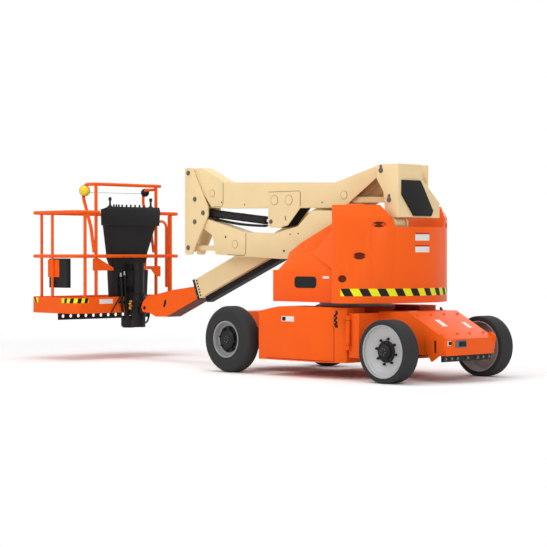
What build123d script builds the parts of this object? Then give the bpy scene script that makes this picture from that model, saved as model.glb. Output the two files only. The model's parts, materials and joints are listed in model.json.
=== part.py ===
"""An articulating boom lift, stowed, as an assembly of separate pieces.

Lengths are in millimetres. +X runs towards the platform, +Y to the machine's left, +Z up.
X is measured from the swing axis in the sizes below, and each plane adds the swing axis' place.
"""

import os
from math import atan2, cos, degrees, hypot, radians, sin

from build123d import *

# Driving sizes: wheels and chassis
wheel_base = 2010
overall_width = 1500
drive_tyre_diameter = 635
drive_tyre_width = 180
drive_rim_diameter = 354
steer_tyre_diameter = 559
steer_tyre_width = 176
steer_rim_diameter = 471
running_gap = 0.3
axle_gap = 5
chassis_half_width = 350
chassis_bottom = 200
chassis_top = 600
deck_height = 650
frame_front = 640
frame_rear = 600
frame_plate = 20
drive_end = 1330
nose_inset = 195
nose_reach = 1380
nose_tip = 1391
nose_top = 615
nose_knee = 950
nose_lip = 385
nose_bottom = 240
lug_thickness = 20
lug_hole_radius = 25
slot_width = 30

# Driving sizes: battery trays
tray_inset = 30
tray_front = 575
tray_bend = 220
tray_rear = 460
tray_inner = 380
tray_bottom = 150
tray_wall = 8
tray_hinge_x = 490
tray_hinge_inset = 88
hinge_pin_radius = 11
hinge_barrel_radius = 20

# Driving sizes: steering
kingpin_inset = 220
kingpin_radius = 20
knuckle_radius = 42
knuckle_height = 116
ear_thickness = 28
fork_depth = 100
spindle_radius = 25
arm_reach = 130
arm_inset = 30
tie_rod_radius = 14

# Driving sizes: turntable and covers
slew_radius = 345
slew_top = 687
base_thickness = 38
tail_radius = 856
hood_wall = 30
hood_top = 1575
hood_bevel_start = 1470
recess_floor = 1378
recess_half_width = 303
hood_corner_angle = 63
hood_corner_radius = 90
pockets = ((33, 1397, 66, 27), (45, 1115, 58, 33), (55.5, 910, 40, 34))
pocket_depth = 26
cover_flank = 600
cover_inner = 450
cover_front = 505
cover_fold = 983
ridge_depth = 50

# Driving sizes: tower, in side view
tower_y = 205
tower_width = 134
boom_wall = 8
plate_thickness = 18
plate_gap = 5
pin_radius = 28
pin_clearance = 0.3
eye_radius = 58
link_width = 50
link_height = 52
link_eye_radius = 42
front_pin_x = 1951
lower_front_z = 1459
lower_rear_x = -690
lower_rear_z = 1410
lower_link_x = 100
lower_link_z = -262
mid_front_x = 2050
mid_front_z = 1956
mid_rear_x = -582
mid_rear_z = 1892
mid_link_x = -100
mid_link_z = -268
boom_depth = 246
tower_cylinder_foot_x = 1826
tower_cylinder_foot_z = 1547
tower_cylinder_head_x = 861
tower_cylinder_head_z = 1447
cylinder_radius = 40
rod_radius = 24

# Driving sizes: main boom and platform
boom_pivot_x = -600
boom_pivot_z = 1880
boom_angle = 22
main_width = 190
main_height = 205
main_front = 2960
track_depth = 58
main_rear = 75
wear_ring_depth = 24
fly_width = 160
fly_height = 172
fly_rear = 560
fly_front = 3130
lift_foot_x = -520
lift_foot_z = 1520
lift_head_along = 1100
lift_head_drop = 240
level_pin_x = 2985
level_pin_z = 560
rotator_x = 3195
rotator_bottom = 345
platform_back = 3360
platform_depth = 760
platform_width = 1520
floor_height = 545
toe_bottom = 500
floor_plate = 10
toe_top = 672
mid_rail_height = 1110
top_rail_height = 1578
guard_height = 1880
rail_radius = 19
tube_wall_gap = 0.3
guard_half = 420
guard_bulge = 185
corner_radius = 120

# Places worked out from the driving sizes
platform_front = platform_back + platform_depth
swing_x = (nose_tip - platform_front - rail_radius) / 2
drive_x = wheel_base / 2
steer_x = -wheel_base / 2
drive_z = drive_tyre_diameter / 2
steer_z = steer_tyre_diameter / 2
outer_face = overall_width / 2
kingpin_y = outer_face - kingpin_inset
nose_half_width = kingpin_y - nose_inset
tray_flank = outer_face - tray_inset
tray_hinge_y = tray_flank - tray_hinge_inset
tower_high = tower_y + tower_width / 2
tower_low = tower_y - tower_width / 2
near_plate = tower_high + plate_gap + plate_thickness
far_plate = tower_low - plate_gap
boom_slope = radians(boom_angle)


def side_view(y):
    """The plane of a side view at this y: first X, then Z, with depth towards -Y."""
    return Plane(origin=(swing_x, y, 0), x_dir=(1, 0, 0), z_dir=(0, -1, 0))


def level(z):
    """The plane of a plan view at this height: X, then Y, with depth upwards."""
    return Plane(origin=(swing_x, 0, z))


def cross_view(x):
    """The plane of a view along the machine at this x: Y, then Z, with depth towards +X."""
    return Plane(origin=(swing_x + x, 0, 0), x_dir=(0, 1, 0), z_dir=(1, 0, 0))


def plate(points, high, thickness, corner=0, mode=Mode.ADD):
    """A flat plate seen from the side, its left face at y=high, with rounded corners."""
    with BuildSketch(side_view(high)) as outline:
        with BuildLine():
            Polyline(*points, close=True)
        make_face()
        if corner:
            fillet(outline.vertices(), corner)
    extrude(outline.sketch, amount=thickness, mode=mode)


def slab(points, bottom, height, mode=Mode.ADD):
    """A flat block seen from above, standing on z=bottom."""
    with BuildSketch(level(bottom)) as outline:
        with BuildLine():
            Polyline(*points, close=True)
        make_face()
    extrude(outline.sketch, amount=height, mode=mode)


def block(x_low, x_high, y_low, y_high, z_low, z_high, mode=Mode.ADD):
    """A box between two corners."""
    place = (swing_x + (x_low + x_high) / 2, (y_low + y_high) / 2, (z_low + z_high) / 2)
    with Locations(place):
        Box(x_high - x_low, y_high - y_low, z_high - z_low, mode=mode)


def cross_bar(x, z, radius, y_low, y_high, mode=Mode.ADD):
    """A round bar across the machine."""
    with Locations((swing_x + x, (y_low + y_high) / 2, z)):
        Cylinder(radius, y_high - y_low, rotation=(90, 0, 0), mode=mode)


def post(x, y, radius, z_low, z_high, mode=Mode.ADD):
    """An upright round bar."""
    with Locations((swing_x + x, y, (z_low + z_high) / 2)):
        Cylinder(radius, z_high - z_low, mode=mode)


def turned(points, x, z):
    """A body of revolution about the wheel axis at x, z, from points of y and radius."""
    with BuildSketch(Plane(origin=(swing_x + x, 0, z), x_dir=(0, 1, 0), z_dir=(1, 0, 0))) as half:
        with BuildLine():
            Polyline(*points, close=True)
        make_face()
    revolve(half.sketch, axis=Axis((swing_x + x, 0, z), (0, 1, 0)))


def link_outline(x_one, z_one, x_two, z_two, radius):
    """The points of a straight bar with pointed-round ends between two pins, in side view."""
    along = atan2(z_two - z_one, x_two - x_one)
    points = []
    for x, z, turn in ((x_two, z_two, -90), (x_one, z_one, 90)):
        for step in (0, 30, 60, 90, 120, 150, 180):
            angle = along + radians(turn + step)
            points.append((x + radius * cos(angle), z + radius * sin(angle)))
    return points


def on_boom(along, up):
    """The side view point this far along the main boom from its pivot and above its middle line."""
    x = boom_pivot_x + along * cos(boom_slope) + up * sin(boom_slope)
    z = boom_pivot_z - along * sin(boom_slope) + up * cos(boom_slope)
    return (x, z)


def boom_stretch(start, end, low, high):
    """The four side view corners of a stretch of the main boom."""
    return [on_boom(start, low), on_boom(end, low), on_boom(end, high), on_boom(start, high)]


def write(piece, name):
    """Labels a finished piece and writes it to its own file."""
    piece.part.label = name
    export_step(piece.part, f"parts/{name}.step")


os.makedirs("parts", exist_ok=True)
sides = (("left", 1), ("right", -1))

# Chassis frame: a box, a bearing pad, the drive end and the sloped nose over the steer axle
nose_profile = [
    (-frame_rear, nose_bottom),
    (-frame_rear, nose_top),
    (-nose_knee, nose_top),
    (-nose_reach, nose_lip),
    (-nose_reach, nose_bottom),
]
drive_axle_half = 300
with BuildPart() as chassis_frame:
    block(-frame_rear, frame_front, -chassis_half_width, chassis_half_width, chassis_bottom, chassis_top)
    post(0, 0, slew_radius + 25, chassis_top, deck_height)
    plate(nose_profile, nose_half_width, 2 * nose_half_width)
    block(frame_front, drive_end, -drive_axle_half, drive_axle_half, drive_z - 110, chassis_top - 30)
    block(
        -frame_rear + frame_plate,
        frame_front - frame_plate,
        -chassis_half_width + frame_plate,
        chassis_half_width - frame_plate,
        chassis_bottom,
        chassis_top - frame_plate,
        Mode.SUBTRACT,
    )
    block(
        frame_front + 1,
        drive_end - frame_plate,
        -drive_axle_half + frame_plate,
        drive_axle_half - frame_plate,
        drive_z - 110,
        chassis_top - 30 - frame_plate,
        Mode.SUBTRACT,
    )
    plate(
        [
            (-frame_rear - 1, nose_bottom),
            (-frame_rear - 1, nose_top - frame_plate),
            (-nose_knee, nose_top - frame_plate),
            (-nose_reach + frame_plate, nose_lip - frame_plate),
            (-nose_reach + frame_plate, nose_bottom),
        ],
        nose_half_width - frame_plate,
        2 * (nose_half_width - frame_plate),
        mode=Mode.SUBTRACT,
    )
    for sign in (1, -1):
        wing_low = min(sign * chassis_half_width, sign * (tray_hinge_y - hinge_barrel_radius - 6))
        wing_high = max(sign * chassis_half_width, sign * (tray_hinge_y - hinge_barrel_radius - 6))
        block(-frame_rear, -tray_rear - 18, wing_low, wing_high, chassis_bottom, chassis_top)
        lug_low = min(sign * (tray_hinge_y - 40), sign * tray_hinge_y)
        lug_high = max(sign * (tray_hinge_y - 40), sign * tray_hinge_y)
        for lug_z in (270, 540):
            block(-tray_hinge_x - 18, -tray_hinge_x + 12, lug_low, lug_high, lug_z, lug_z + 40)
            post(-tray_hinge_x, sign * tray_hinge_y, hinge_barrel_radius, lug_z, lug_z + 40)
        post(-tray_hinge_x, sign * tray_hinge_y, hinge_pin_radius, 270, 580)
write(chassis_frame, "chassis_frame")

# Tie-down lugs at the drive end, each with a round hole
lug_x = drive_end + 45
lug_z = 400
for side, sign in sides:
    lug_face = sign * (drive_axle_half - 20) + lug_thickness / 2
    with BuildPart() as drive_lug:
        plate(
            [(drive_end, 330), (drive_end, 480), (lug_x + 45, 450), (lug_x + 45, 350)],
            lug_face,
            lug_thickness,
        )
        cross_bar(lug_x, lug_z, lug_hole_radius, lug_face - lug_thickness, lug_face, Mode.SUBTRACT)
    write(drive_lug, f"drive_tie_down_{side}")

# Slotted tie-down plates on both corners of the nose
tie_outline = [(-1174, 394), (-1350, 431), (-nose_tip, 396), (-1374, 278), (-1231, 185), (-1158, 296)]
slot_x, slot_low, slot_high = -1271, 262, 372
for side, sign in sides:
    tie_face = sign * (nose_half_width + lug_thickness / 2) + lug_thickness / 2
    with BuildPart() as nose_tie_down:
        plate(tie_outline, tie_face, lug_thickness)
        block(
            slot_x - slot_width / 2,
            slot_x + slot_width / 2,
            tie_face - lug_thickness,
            tie_face,
            slot_low,
            slot_high,
            Mode.SUBTRACT,
        )
    write(nose_tie_down, f"nose_tie_down_{side}")

# Dark guard plate below the nose, between the tie-down plates
with BuildPart() as nose_guard:
    block(-1345, -1325, -nose_half_width + 1, nose_half_width - 1, 185, nose_bottom)
write(nose_guard, "nose_guard")

# Slewing ring between chassis and turntable
with BuildPart() as slew_ring:
    post(0, 0, slew_radius, deck_height, slew_top)
    post(0, 0, slew_radius - 90, deck_height, slew_top, Mode.SUBTRACT)
write(slew_ring, "slew_ring")

# Steer axle: a stub with a forked end on each side of the nose
ear_low = steer_z - knuckle_height / 2 - 1.5 - ear_thickness
ear_high = steer_z + knuckle_height / 2 + 1.5 + ear_thickness
with BuildPart() as steer_axle:
    for sign in (1, -1):
        stub_low, stub_high = sorted((sign * nose_half_width, sign * (kingpin_y - fork_depth)))
        block(steer_x - 30, steer_x + 30, stub_low, stub_high, ear_low, ear_high)
        ear_inner, ear_outer = sorted((sign * (kingpin_y - fork_depth - 2), sign * kingpin_y))
        for low in (ear_low, ear_high - ear_thickness):
            block(steer_x - 38, steer_x + 38, ear_inner, ear_outer, low, low + ear_thickness)
            post(steer_x, sign * kingpin_y, 38, low, low + ear_thickness)
        post(steer_x, sign * kingpin_y, kingpin_radius, ear_low, ear_high)
write(steer_axle, "steer_axle")

# Steer knuckles: a barrel on the kingpin, a spindle for the wheel and an arm for the tie rod
arm_top = steer_z - 30
arm_height = 20
spindle_end = outer_face - 50
for side, sign in sides:
    with BuildPart() as steer_knuckle:
        post(
            steer_x,
            sign * kingpin_y,
            knuckle_radius,
            steer_z - knuckle_height / 2,
            steer_z + knuckle_height / 2,
        )
        low, high = sorted((sign * kingpin_y, sign * spindle_end))
        cross_bar(steer_x, steer_z, spindle_radius, low, high)
        low, high = sorted((sign * kingpin_y, sign * (outer_face - steer_tyre_width + 10)))
        cross_bar(steer_x, steer_z, 55, low, high)
        arm_y = sign * (kingpin_y - arm_inset)
        slab(
            [
                (steer_x, sign * (kingpin_y - 26)),
                (steer_x + arm_reach, arm_y - 22),
                (steer_x + arm_reach, arm_y + 22),
                (steer_x, sign * (kingpin_y + 26)),
            ]
            if sign > 0
            else [
                (steer_x, sign * (kingpin_y + 26)),
                (steer_x + arm_reach, arm_y - 22),
                (steer_x + arm_reach, arm_y + 22),
                (steer_x, sign * (kingpin_y - 26)),
            ],
            arm_top - arm_height,
            arm_height,
        )
        post(steer_x + arm_reach, arm_y, 24, arm_top - arm_height, arm_top)
        post(
            steer_x,
            sign * kingpin_y,
            kingpin_radius + running_gap,
            steer_z - knuckle_height / 2,
            steer_z + knuckle_height / 2,
            Mode.SUBTRACT,
        )
    write(steer_knuckle, f"steer_knuckle_{side}")

# Tie rod under the nose, its eyes just below the knuckle arms
eye_top = arm_top - arm_height - running_gap
eye_height = 24
rod_half = kingpin_y - arm_inset
with BuildPart() as tie_rod:
    cross_bar(steer_x + arm_reach, eye_top - eye_height / 2, tie_rod_radius - 3, -rod_half, rod_half)
    for sign in (1, -1):
        post(steer_x + arm_reach, sign * rod_half, 26, eye_top - eye_height, eye_top)
write(tie_rod, "tie_rod")

# Wheels: a tyre and a rim on each corner, with a hub that carries them
motor_end = outer_face - 110
hub_start = motor_end + axle_gap
web_outer = outer_face - 50
web_inner = web_outer - 14
drive_bore = 35
for side, sign in sides:
    half = drive_tyre_width / 2
    middle = sign * (outer_face - half)
    radius = drive_tyre_diameter / 2
    bead = drive_rim_diameter / 2
    with BuildPart() as drive_tyre:
        turned(
            [
                (middle - half, bead),
                (middle - half, radius - 48),
                (middle - half + 18, radius - 13),
                (middle - half + 45, radius),
                (middle + half - 45, radius),
                (middle + half - 18, radius - 13),
                (middle + half, radius - 48),
                (middle + half, bead),
            ],
            drive_x,
            drive_z,
        )
    write(drive_tyre, f"drive_tyre_{side}")

    rim = bead - running_gap
    with BuildPart() as drive_rim:
        turned(
            [
                (sign * (outer_face - drive_tyre_width + 6), rim),
                (sign * (outer_face - 4), rim),
                (sign * (outer_face - 4), rim - 14),
                (sign * web_outer, rim - 18),
                (sign * web_outer, 90),
                (sign * web_inner, 90),
                (sign * web_inner, rim - 18),
                (sign * (outer_face - drive_tyre_width + 6), rim - 14),
            ],
            drive_x,
            drive_z,
        )
    write(drive_rim, f"drive_rim_{side}")

    with BuildPart() as drive_hub:
        turned(
            [
                (sign * hub_start, drive_bore + running_gap),
                (sign * hub_start, 125),
                (sign * (web_inner - running_gap), 125),
                (sign * (web_inner - running_gap), 90 - running_gap),
                (sign * (outer_face - 28), 90 - running_gap),
                (sign * (outer_face - 16), 70),
                (sign * (outer_face - 16), 0),
                (sign * (outer_face - 40), 0),
                (sign * (outer_face - 40), drive_bore + running_gap),
            ],
            drive_x,
            drive_z,
        )
    write(drive_hub, f"drive_hub_{side}")

    with BuildPart() as drive_motor:
        low, high = sorted((sign * drive_axle_half, sign * motor_end))
        cross_bar(drive_x, drive_z, 85, low, high)
        low, high = sorted((sign * drive_axle_half, sign * (drive_axle_half + 90)))
        cross_bar(drive_x, drive_z, 105, low, high)
        low, high = sorted((sign * motor_end, sign * (outer_face - 42)))
        cross_bar(drive_x, drive_z, drive_bore, low, high)
    write(drive_motor, f"drive_motor_{side}")

    half = steer_tyre_width / 2
    middle = sign * (outer_face - half)
    radius = steer_tyre_diameter / 2
    bead = steer_rim_diameter / 2
    with BuildPart() as steer_tyre:
        turned(
            [
                (middle - half, bead),
                (middle - half, radius - 10),
                (middle - half + 10, radius),
                (middle + half - 10, radius),
                (middle + half, radius - 10),
                (middle + half, bead),
            ],
            steer_x,
            steer_z,
        )
    write(steer_tyre, f"steer_tyre_{side}")

    rim = bead - running_gap
    with BuildPart() as steer_rim:
        turned(
            [
                (sign * (outer_face - steer_tyre_width + 4), rim),
                (sign * (outer_face - 4), rim),
                (sign * (outer_face - 4), rim - 10),
                (sign * (outer_face - 30), rim - 16),
                (sign * (outer_face - 62), 125),
                (sign * (outer_face - 62), 62),
                (sign * (outer_face - 76), 62),
                (sign * (outer_face - 76), 129),
                (sign * (outer_face - 46), rim - 16),
                (sign * (outer_face - steer_tyre_width + 4), rim - 12),
            ],
            steer_x,
            steer_z,
        )
    write(steer_rim, f"steer_rim_{side}")

    hub_bore = spindle_radius + running_gap
    with BuildPart() as steer_hub:
        turned(
            [
                (sign * (outer_face - 100), hub_bore),
                (sign * (outer_face - 100), 110),
                (sign * (outer_face - 76.3), 110),
                (sign * (outer_face - 76.3), 62 - running_gap),
                (sign * (outer_face - 36), 62 - running_gap),
                (sign * (outer_face - 18), 40),
                (sign * (outer_face - 14), 0),
                (sign * (outer_face - 47), 0),
                (sign * (outer_face - 47), hub_bore),
            ],
            steer_x,
            steer_z,
        )
    write(steer_hub, f"steer_hub_{side}")

# Battery trays: open on the inside, sloped at the front, hinged at the rear corner
tray_top = deck_height - 2
pack_gap = 0.3
for side, sign in sides:
    plan = [
        (tray_front, sign * tray_inner),
        (tray_front, sign * tray_flank),
        (-tray_bend, sign * tray_flank),
        (-tray_rear, sign * (tray_hinge_y - 12)),
        (-tray_rear, sign * tray_inner),
    ]
    inner_plan = [
        (tray_front - tray_wall, sign * (tray_inner - 1)),
        (tray_front - tray_wall, sign * (tray_flank - tray_wall)),
        (-tray_bend, sign * (tray_flank - tray_wall)),
        (-tray_rear + tray_wall, sign * (tray_hinge_y - 12 - tray_wall)),
        (-tray_rear + tray_wall, sign * (tray_inner - 1)),
    ]
    with BuildPart() as battery_tray:
        slab(plan, tray_bottom, tray_top - tray_bottom)
        slab(inner_plan, tray_bottom + tray_wall, tray_top - 60 - tray_bottom - tray_wall, Mode.SUBTRACT)
        plate(
            [(tray_front + 1, 598), (tray_front + 1, tray_top + 1), (300, tray_top + 1), (420, 630)],
            tray_flank + 1,
            2 * tray_flank + 2,
            mode=Mode.SUBTRACT,
        )
        low, high = sorted((sign * (tray_hinge_y - 14), sign * tray_hinge_y))
        block(-tray_hinge_x, -tray_rear, low, high, 320, 530)
        post(-tray_hinge_x, sign * tray_hinge_y, hinge_barrel_radius, 320, 530)
        post(-tray_hinge_x, sign * tray_hinge_y, hinge_pin_radius + running_gap, 320, 530, Mode.SUBTRACT)
    write(battery_tray, f"battery_tray_{side}")

    low, high = sorted((sign * tray_inner, sign * (tray_flank - tray_wall - 12)))
    with BuildPart() as battery_pack:
        block(-tray_bend + 10, tray_front - tray_wall - 12, low, high, tray_bottom + tray_wall, 520)
    write(battery_pack, f"battery_pack_{side}")

# Turntable frame: base plate, side plates and the pivot plates of the tower
base_bottom = slew_top + running_gap
base_top = base_bottom + base_thickness
pivot_outline = [
    (-755, base_top - 5),
    (-300, base_top - 5),
    (-480, 1150),
    (-600, 1420),
    (-640, 1455),
    (-735, 1455),
    (-755, 1430),
]
base_half = cover_inner - running_gap
base_plan = [
    (cover_front - 10, -base_half),
    (cover_front - 10, base_half),
    (-480, base_half),
    (-780, 180),
    (-780, -180),
    (-480, -base_half),
]
lower_link_rear = (lower_rear_x + lower_link_x, lower_rear_z + lower_link_z)
with BuildPart() as turntable_frame:
    slab(base_plan, base_bottom, base_thickness)
    post(0, 0, slew_radius - 90 - running_gap, deck_height + 6, base_top)
    plate(pivot_outline, near_plate, plate_thickness)
    plate(pivot_outline, far_plate, plate_thickness)
    pivot_span = (far_plate - plate_thickness, near_plate)
    cross_bar(lower_rear_x, lower_rear_z, pin_radius, *pivot_span)
    cross_bar(*lower_link_rear, pin_radius, *pivot_span)
write(turntable_frame, "turntable_frame")

# Moulded tail hood about the swing axis, a shell open below and towards the booms
corner = radians(180 - hood_corner_angle)
corner_point = (tail_radius * cos(corner), tail_radius * sin(corner))
front_inner = (-205, cover_inner + 5)


def hood_plan(radius, inset):
    """The plan of one hood shoulder: arc of the tail, slanted front wall and inner wall."""
    arc_end = (corner_point[0] + 0.7 * inset, corner_point[1] - inset)
    inner = recess_half_width + (inset if inset else 0)
    start = (-((radius**2 - inner**2) ** 0.5), inner)
    arc_radius = hypot(*arc_end)
    middle_angle = (atan2(start[1], start[0]) + atan2(arc_end[1], arc_end[0])) / 2
    middle_radius = (radius + arc_radius) / 2
    middle = (middle_radius * cos(middle_angle), middle_radius * sin(middle_angle))
    return start, middle, arc_end, (front_inner[0] - inset, front_inner[1] - 0.4 * inset), inner


with BuildPart() as tail_hood:
    for inset, bottom, top, mode in (
        (0, slew_top + 3, hood_top, Mode.ADD),
        (hood_wall, slew_top - 1, recess_floor - hood_wall, Mode.SUBTRACT),
    ):
        start, middle, arc_end, front, inner = hood_plan(tail_radius - inset, inset)
        with BuildSketch(level(bottom)) as plan:
            with BuildLine():
                ThreePointArc(start, middle, arc_end)
                Polyline(arc_end, front, (front[0], inner), start)
            make_face()
            fillet(plan.vertices().sort_by(Axis.Y)[-1], hood_corner_radius - inset)
            mirror(about=Plane.XZ)
        extrude(amount=top - bottom, mode=mode)
    with BuildSketch(level(slew_top + 3)):
        with BuildLine():
            outer_x = -((tail_radius**2 - recess_half_width**2) ** 0.5)
            inner_x = -(((tail_radius - hood_wall) ** 2 - recess_half_width**2) ** 0.5)
            ThreePointArc((outer_x, recess_half_width), (-tail_radius, 0), (outer_x, -recess_half_width))
            Line((outer_x, -recess_half_width), (inner_x, -recess_half_width))
            ThreePointArc(
                (inner_x, -recess_half_width), (-tail_radius + hood_wall, 0), (inner_x, recess_half_width)
            )
            Line((inner_x, recess_half_width), (outer_x, recess_half_width))
        make_face()
    extrude(amount=recess_floor - slew_top - 3)
    slab(base_plan, slew_top, base_top - slew_top, Mode.SUBTRACT)
    with BuildSketch(cross_view(0)) as bevel:
        with BuildLine():
            Polyline(
                (tail_radius + 14, hood_bevel_start - 25),
                (tail_radius + 14, hood_top + 25),
                (tail_radius - 70, hood_top + 25),
                close=True,
            )
        make_face()
    revolve(bevel.sketch, axis=Axis((swing_x, 0, 0), (0, 0, 1)), mode=Mode.SUBTRACT)
    for sign in (1, -1):
        with BuildSketch(cross_view(-tail_radius - 5)) as shoulder:
            with BuildLine():
                Polyline(
                    (sign * (recess_half_width - 1), recess_floor),
                    (sign * (recess_half_width + 22), recess_floor),
                    (sign * (recess_half_width + 117), hood_top + 1),
                    (sign * (recess_half_width - 1), hood_top + 1),
                    close=True,
                )
            make_face()
        extrude(shoulder.sketch, amount=tail_radius, mode=Mode.SUBTRACT)
        for turn, height, half_long, half_tall in pockets:
            angle = radians(180 - sign * turn)
            across = (-sin(angle), cos(angle), 0)
            out = (cos(angle), sin(angle), 0)
            spot = (swing_x + (tail_radius + 2) * cos(angle), (tail_radius + 2) * sin(angle), height)
            with BuildSketch(Plane(origin=spot, x_dir=across, z_dir=out)) as pocket:
                Ellipse(half_long, half_tall)
            extrude(pocket.sketch, amount=-pocket_depth, mode=Mode.SUBTRACT)
write(tail_hood, "tail_hood")

# Counterweight inside the tail: one plain block in each shoulder
weight_top = recess_floor - hood_wall - 3
with BuildPart() as counterweight:
    for sign in (1, -1):
        weight_plan = [(-320, 345), (-320, 440), (-430, 600), (-610, 495), (-735, 345)]
        slab([(x, sign * y) for x, y in weight_plan], base_top, weight_top - base_top)
write(counterweight, "counterweight")

# Side covers beside the booms: a flat flank, a ridge that rises to the hood and a fairing before it
cover_rear = -320
ridge = [
    (cover_front, cover_fold),
    (cover_front - 65, cover_fold + 164),
    (cover_front - 220, cover_fold + 254),
    (cover_front - 610, cover_fold + 424),
    (cover_rear, cover_fold + 505),
    (cover_rear, cover_fold - 10),
]
ridge_foot = [
    (cover_front - 65, cover_fold),
    (cover_front - 129, cover_fold + 129),
    (cover_front - 275, cover_fold + 162),
    (cover_front - 427, cover_fold + 177),
    (cover_rear, cover_fold + 177),
    (cover_rear, cover_fold - 10),
]
for side, sign in sides:
    with BuildPart() as side_cover:
        low, high = sorted((sign * cover_inner, sign * cover_flank))
        block(cover_rear, cover_front, low, high, slew_top + 3, cover_fold)
        low, high = sorted((sign * cover_inner, sign * (cover_inner - 20)))
        block(-40, cover_front - 60, low, high, base_top, cover_fold)
        with BuildSketch(side_view(sign * cover_inner)) as inner_face:
            with BuildLine():
                Polyline(*ridge, close=True)
            make_face()
        with BuildSketch(side_view(sign * (cover_inner + ridge_depth))) as outer_face_of_ridge:
            with BuildLine():
                Polyline(*ridge_foot, close=True)
            make_face()
        loft([inner_face.sketch.face(), outer_face_of_ridge.sketch.face()], ruled=True)
        with BuildSketch(cross_view(cover_front - 385)) as fairing_tip:
            with BuildLine():
                Polyline(
                    (sign * (cover_inner + 20), cover_fold + 170),
                    (sign * (cover_inner + ridge_depth + 4), cover_fold + 170),
                    (sign * (cover_inner + 20), cover_fold + 195),
                    close=True,
                )
            make_face()
        with BuildSketch(cross_view(cover_rear)) as fairing_root:
            with BuildLine():
                Polyline(
                    (sign * (cover_inner + 20), cover_fold + 5),
                    (sign * (cover_flank + 40), cover_fold + 5),
                    (sign * (cover_inner + 20), cover_fold + 490),
                    close=True,
                )
            make_face()
        loft([fairing_tip.sketch.face(), fairing_root.sketch.face()], ruled=True)
        hood_run = (front_inner[0] - corner_point[0]) / (corner_point[1] - front_inner[1])
        foot = front_inner[0] + (front_inner[1] - cover_inner + 25) * hood_run
        slab(
            [
                (corner_point[0] + 1, sign * corner_point[1]),
                (foot + 1, sign * (cover_inner - 25)),
                (-800, sign * (cover_inner - 25)),
                (-800, sign * corner_point[1]),
            ],
            slew_top,
            1000,
            Mode.SUBTRACT,
        )
    write(side_cover, f"side_cover_{side}")

# Tower: two like booms with their links, high at the pins and dropped in the middle

lower_front = (front_pin_x, lower_front_z)
lower_rear = (lower_rear_x, lower_rear_z)
lower_outline = [
    (1995, 1445),
    (1985, 1500),
    (1905, 1512),
    (1240, 1346),
    (825, 1334),
    (506, 1395),
    (318, 1545),
    (-100, 1535),
    (-640, 1462),
    (-735, 1445),
    (-742, 1375),
    (-655, 1355),
    (-380, 1330),
    (250, 1100),
    (720, 1084),
    (1665, 1128),
    (1715, 1322),
    (1895, 1412),
]
lower_hollow = [
    (2050, 1600),
    (1900, 1503),
    (1240, 1338),
    (825, 1326),
    (502, 1387),
    (315, 1537),
    (-100, 1527),
    (-640, 1454),
    (-800, 1430),
    (-800, 1100),
    (-600, 1100),
    (252, 1108),
    (720, 1092),
    (1664, 1136),
    (2050, 1136),
]
with BuildPart() as lower_boom:
    plate(lower_outline, tower_high, tower_width)
    plate(lower_hollow, tower_high - boom_wall, tower_width - 2 * boom_wall, mode=Mode.SUBTRACT)
    for pin in (lower_front, lower_rear):
        cross_bar(*pin, eye_radius - 8, tower_low, tower_high)
        cross_bar(*pin, pin_radius + pin_clearance, tower_low, tower_high, Mode.SUBTRACT)
write(lower_boom, "lower_boom")

mid_front = (mid_front_x, mid_front_z)
mid_rear = (mid_rear_x, mid_rear_z)
mid_outline = [
    (2098, 1940),
    (2088, 2000),
    (1860, 2000),
    (1520, 1846),
    (10, 1800),
    (-540, 1944),
    (-625, 1935),
    (-632, 1860),
    (-520, 1838),
    (-180, 1620),
    (-120, 1563),
    (1550, 1588),
    (1720, 1600),
    (1990, 1900),
]
mid_hollow = [
    (2200, 1980),
    (1862, 1992),
    (1518, 1838),
    (10, 1792),
    (-535, 1936),
    (-800, 1936),
    (-800, 1500),
    (-180, 1500),
    (-120, 1571),
    (1548, 1596),
    (1716, 1596),
    (2200, 1596),
]
with BuildPart() as mid_boom:
    plate(mid_outline, tower_high, tower_width)
    plate(mid_hollow, tower_high - boom_wall, tower_width - 2 * boom_wall, mode=Mode.SUBTRACT)
    bracket = [
        (902, 1600),
        (902, 1430),
        (880, 1395),
        (835, 1390),
        (770, 1410),
        (560, 1580),
        (472, 1700),
        (472, 1730),
        (902, 1730),
    ]
    for face in (tower_high + 6, tower_low + boom_wall):
        plate(bracket, face, boom_wall + 6)
    for pin in (mid_front, mid_rear):
        cross_bar(*pin, eye_radius - 8, tower_low, tower_high)
        cross_bar(*pin, pin_radius + pin_clearance, tower_low, tower_high, Mode.SUBTRACT)
write(mid_boom, "mid_boom")

# Parallel links that keep the uprights upright
for name, (front, rear) in (
    (
        "lower_link",
        (
            (front_pin_x + lower_link_x, lower_front_z + lower_link_z),
            (lower_rear_x + lower_link_x, lower_rear_z + lower_link_z),
        ),
    ),
    (
        "mid_link",
        (
            (mid_front_x + mid_link_x, mid_front_z + mid_link_z),
            (mid_rear_x + mid_link_x, mid_rear_z + mid_link_z),
        ),
    ),
):
    with BuildPart() as link:
        plate(link_outline(*rear, *front, link_height / 2), tower_y + link_width / 2, link_width)
        for pin in (front, rear):
            cross_bar(*pin, link_eye_radius, tower_y - link_width / 2, tower_y + link_width / 2)
            cross_bar(
                *pin,
                pin_radius + pin_clearance,
                tower_y - link_width / 2,
                tower_y + link_width / 2,
                Mode.SUBTRACT,
            )
    write(link, name)

# Front upright: two triangular plates with the pins of both booms, both links and the cylinder
upright_outline = [(2103, 2008), (2000, 2008), (1757, 1600), (1757, 1520), (2000, 1127), (2103, 1127)]
upright_pins = (
    mid_front,
    (mid_front_x + mid_link_x, mid_front_z + mid_link_z),
    (tower_cylinder_foot_x, tower_cylinder_foot_z),
    lower_front,
    (front_pin_x + lower_link_x, lower_front_z + lower_link_z),
)
with BuildPart() as front_upright:
    for face in (near_plate, far_plate):
        plate(upright_outline, face, plate_thickness, corner=18)
    for pin in upright_pins:
        cross_bar(*pin, pin_radius, far_plate - plate_thickness, near_plate)
write(front_upright, "front_upright")

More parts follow.
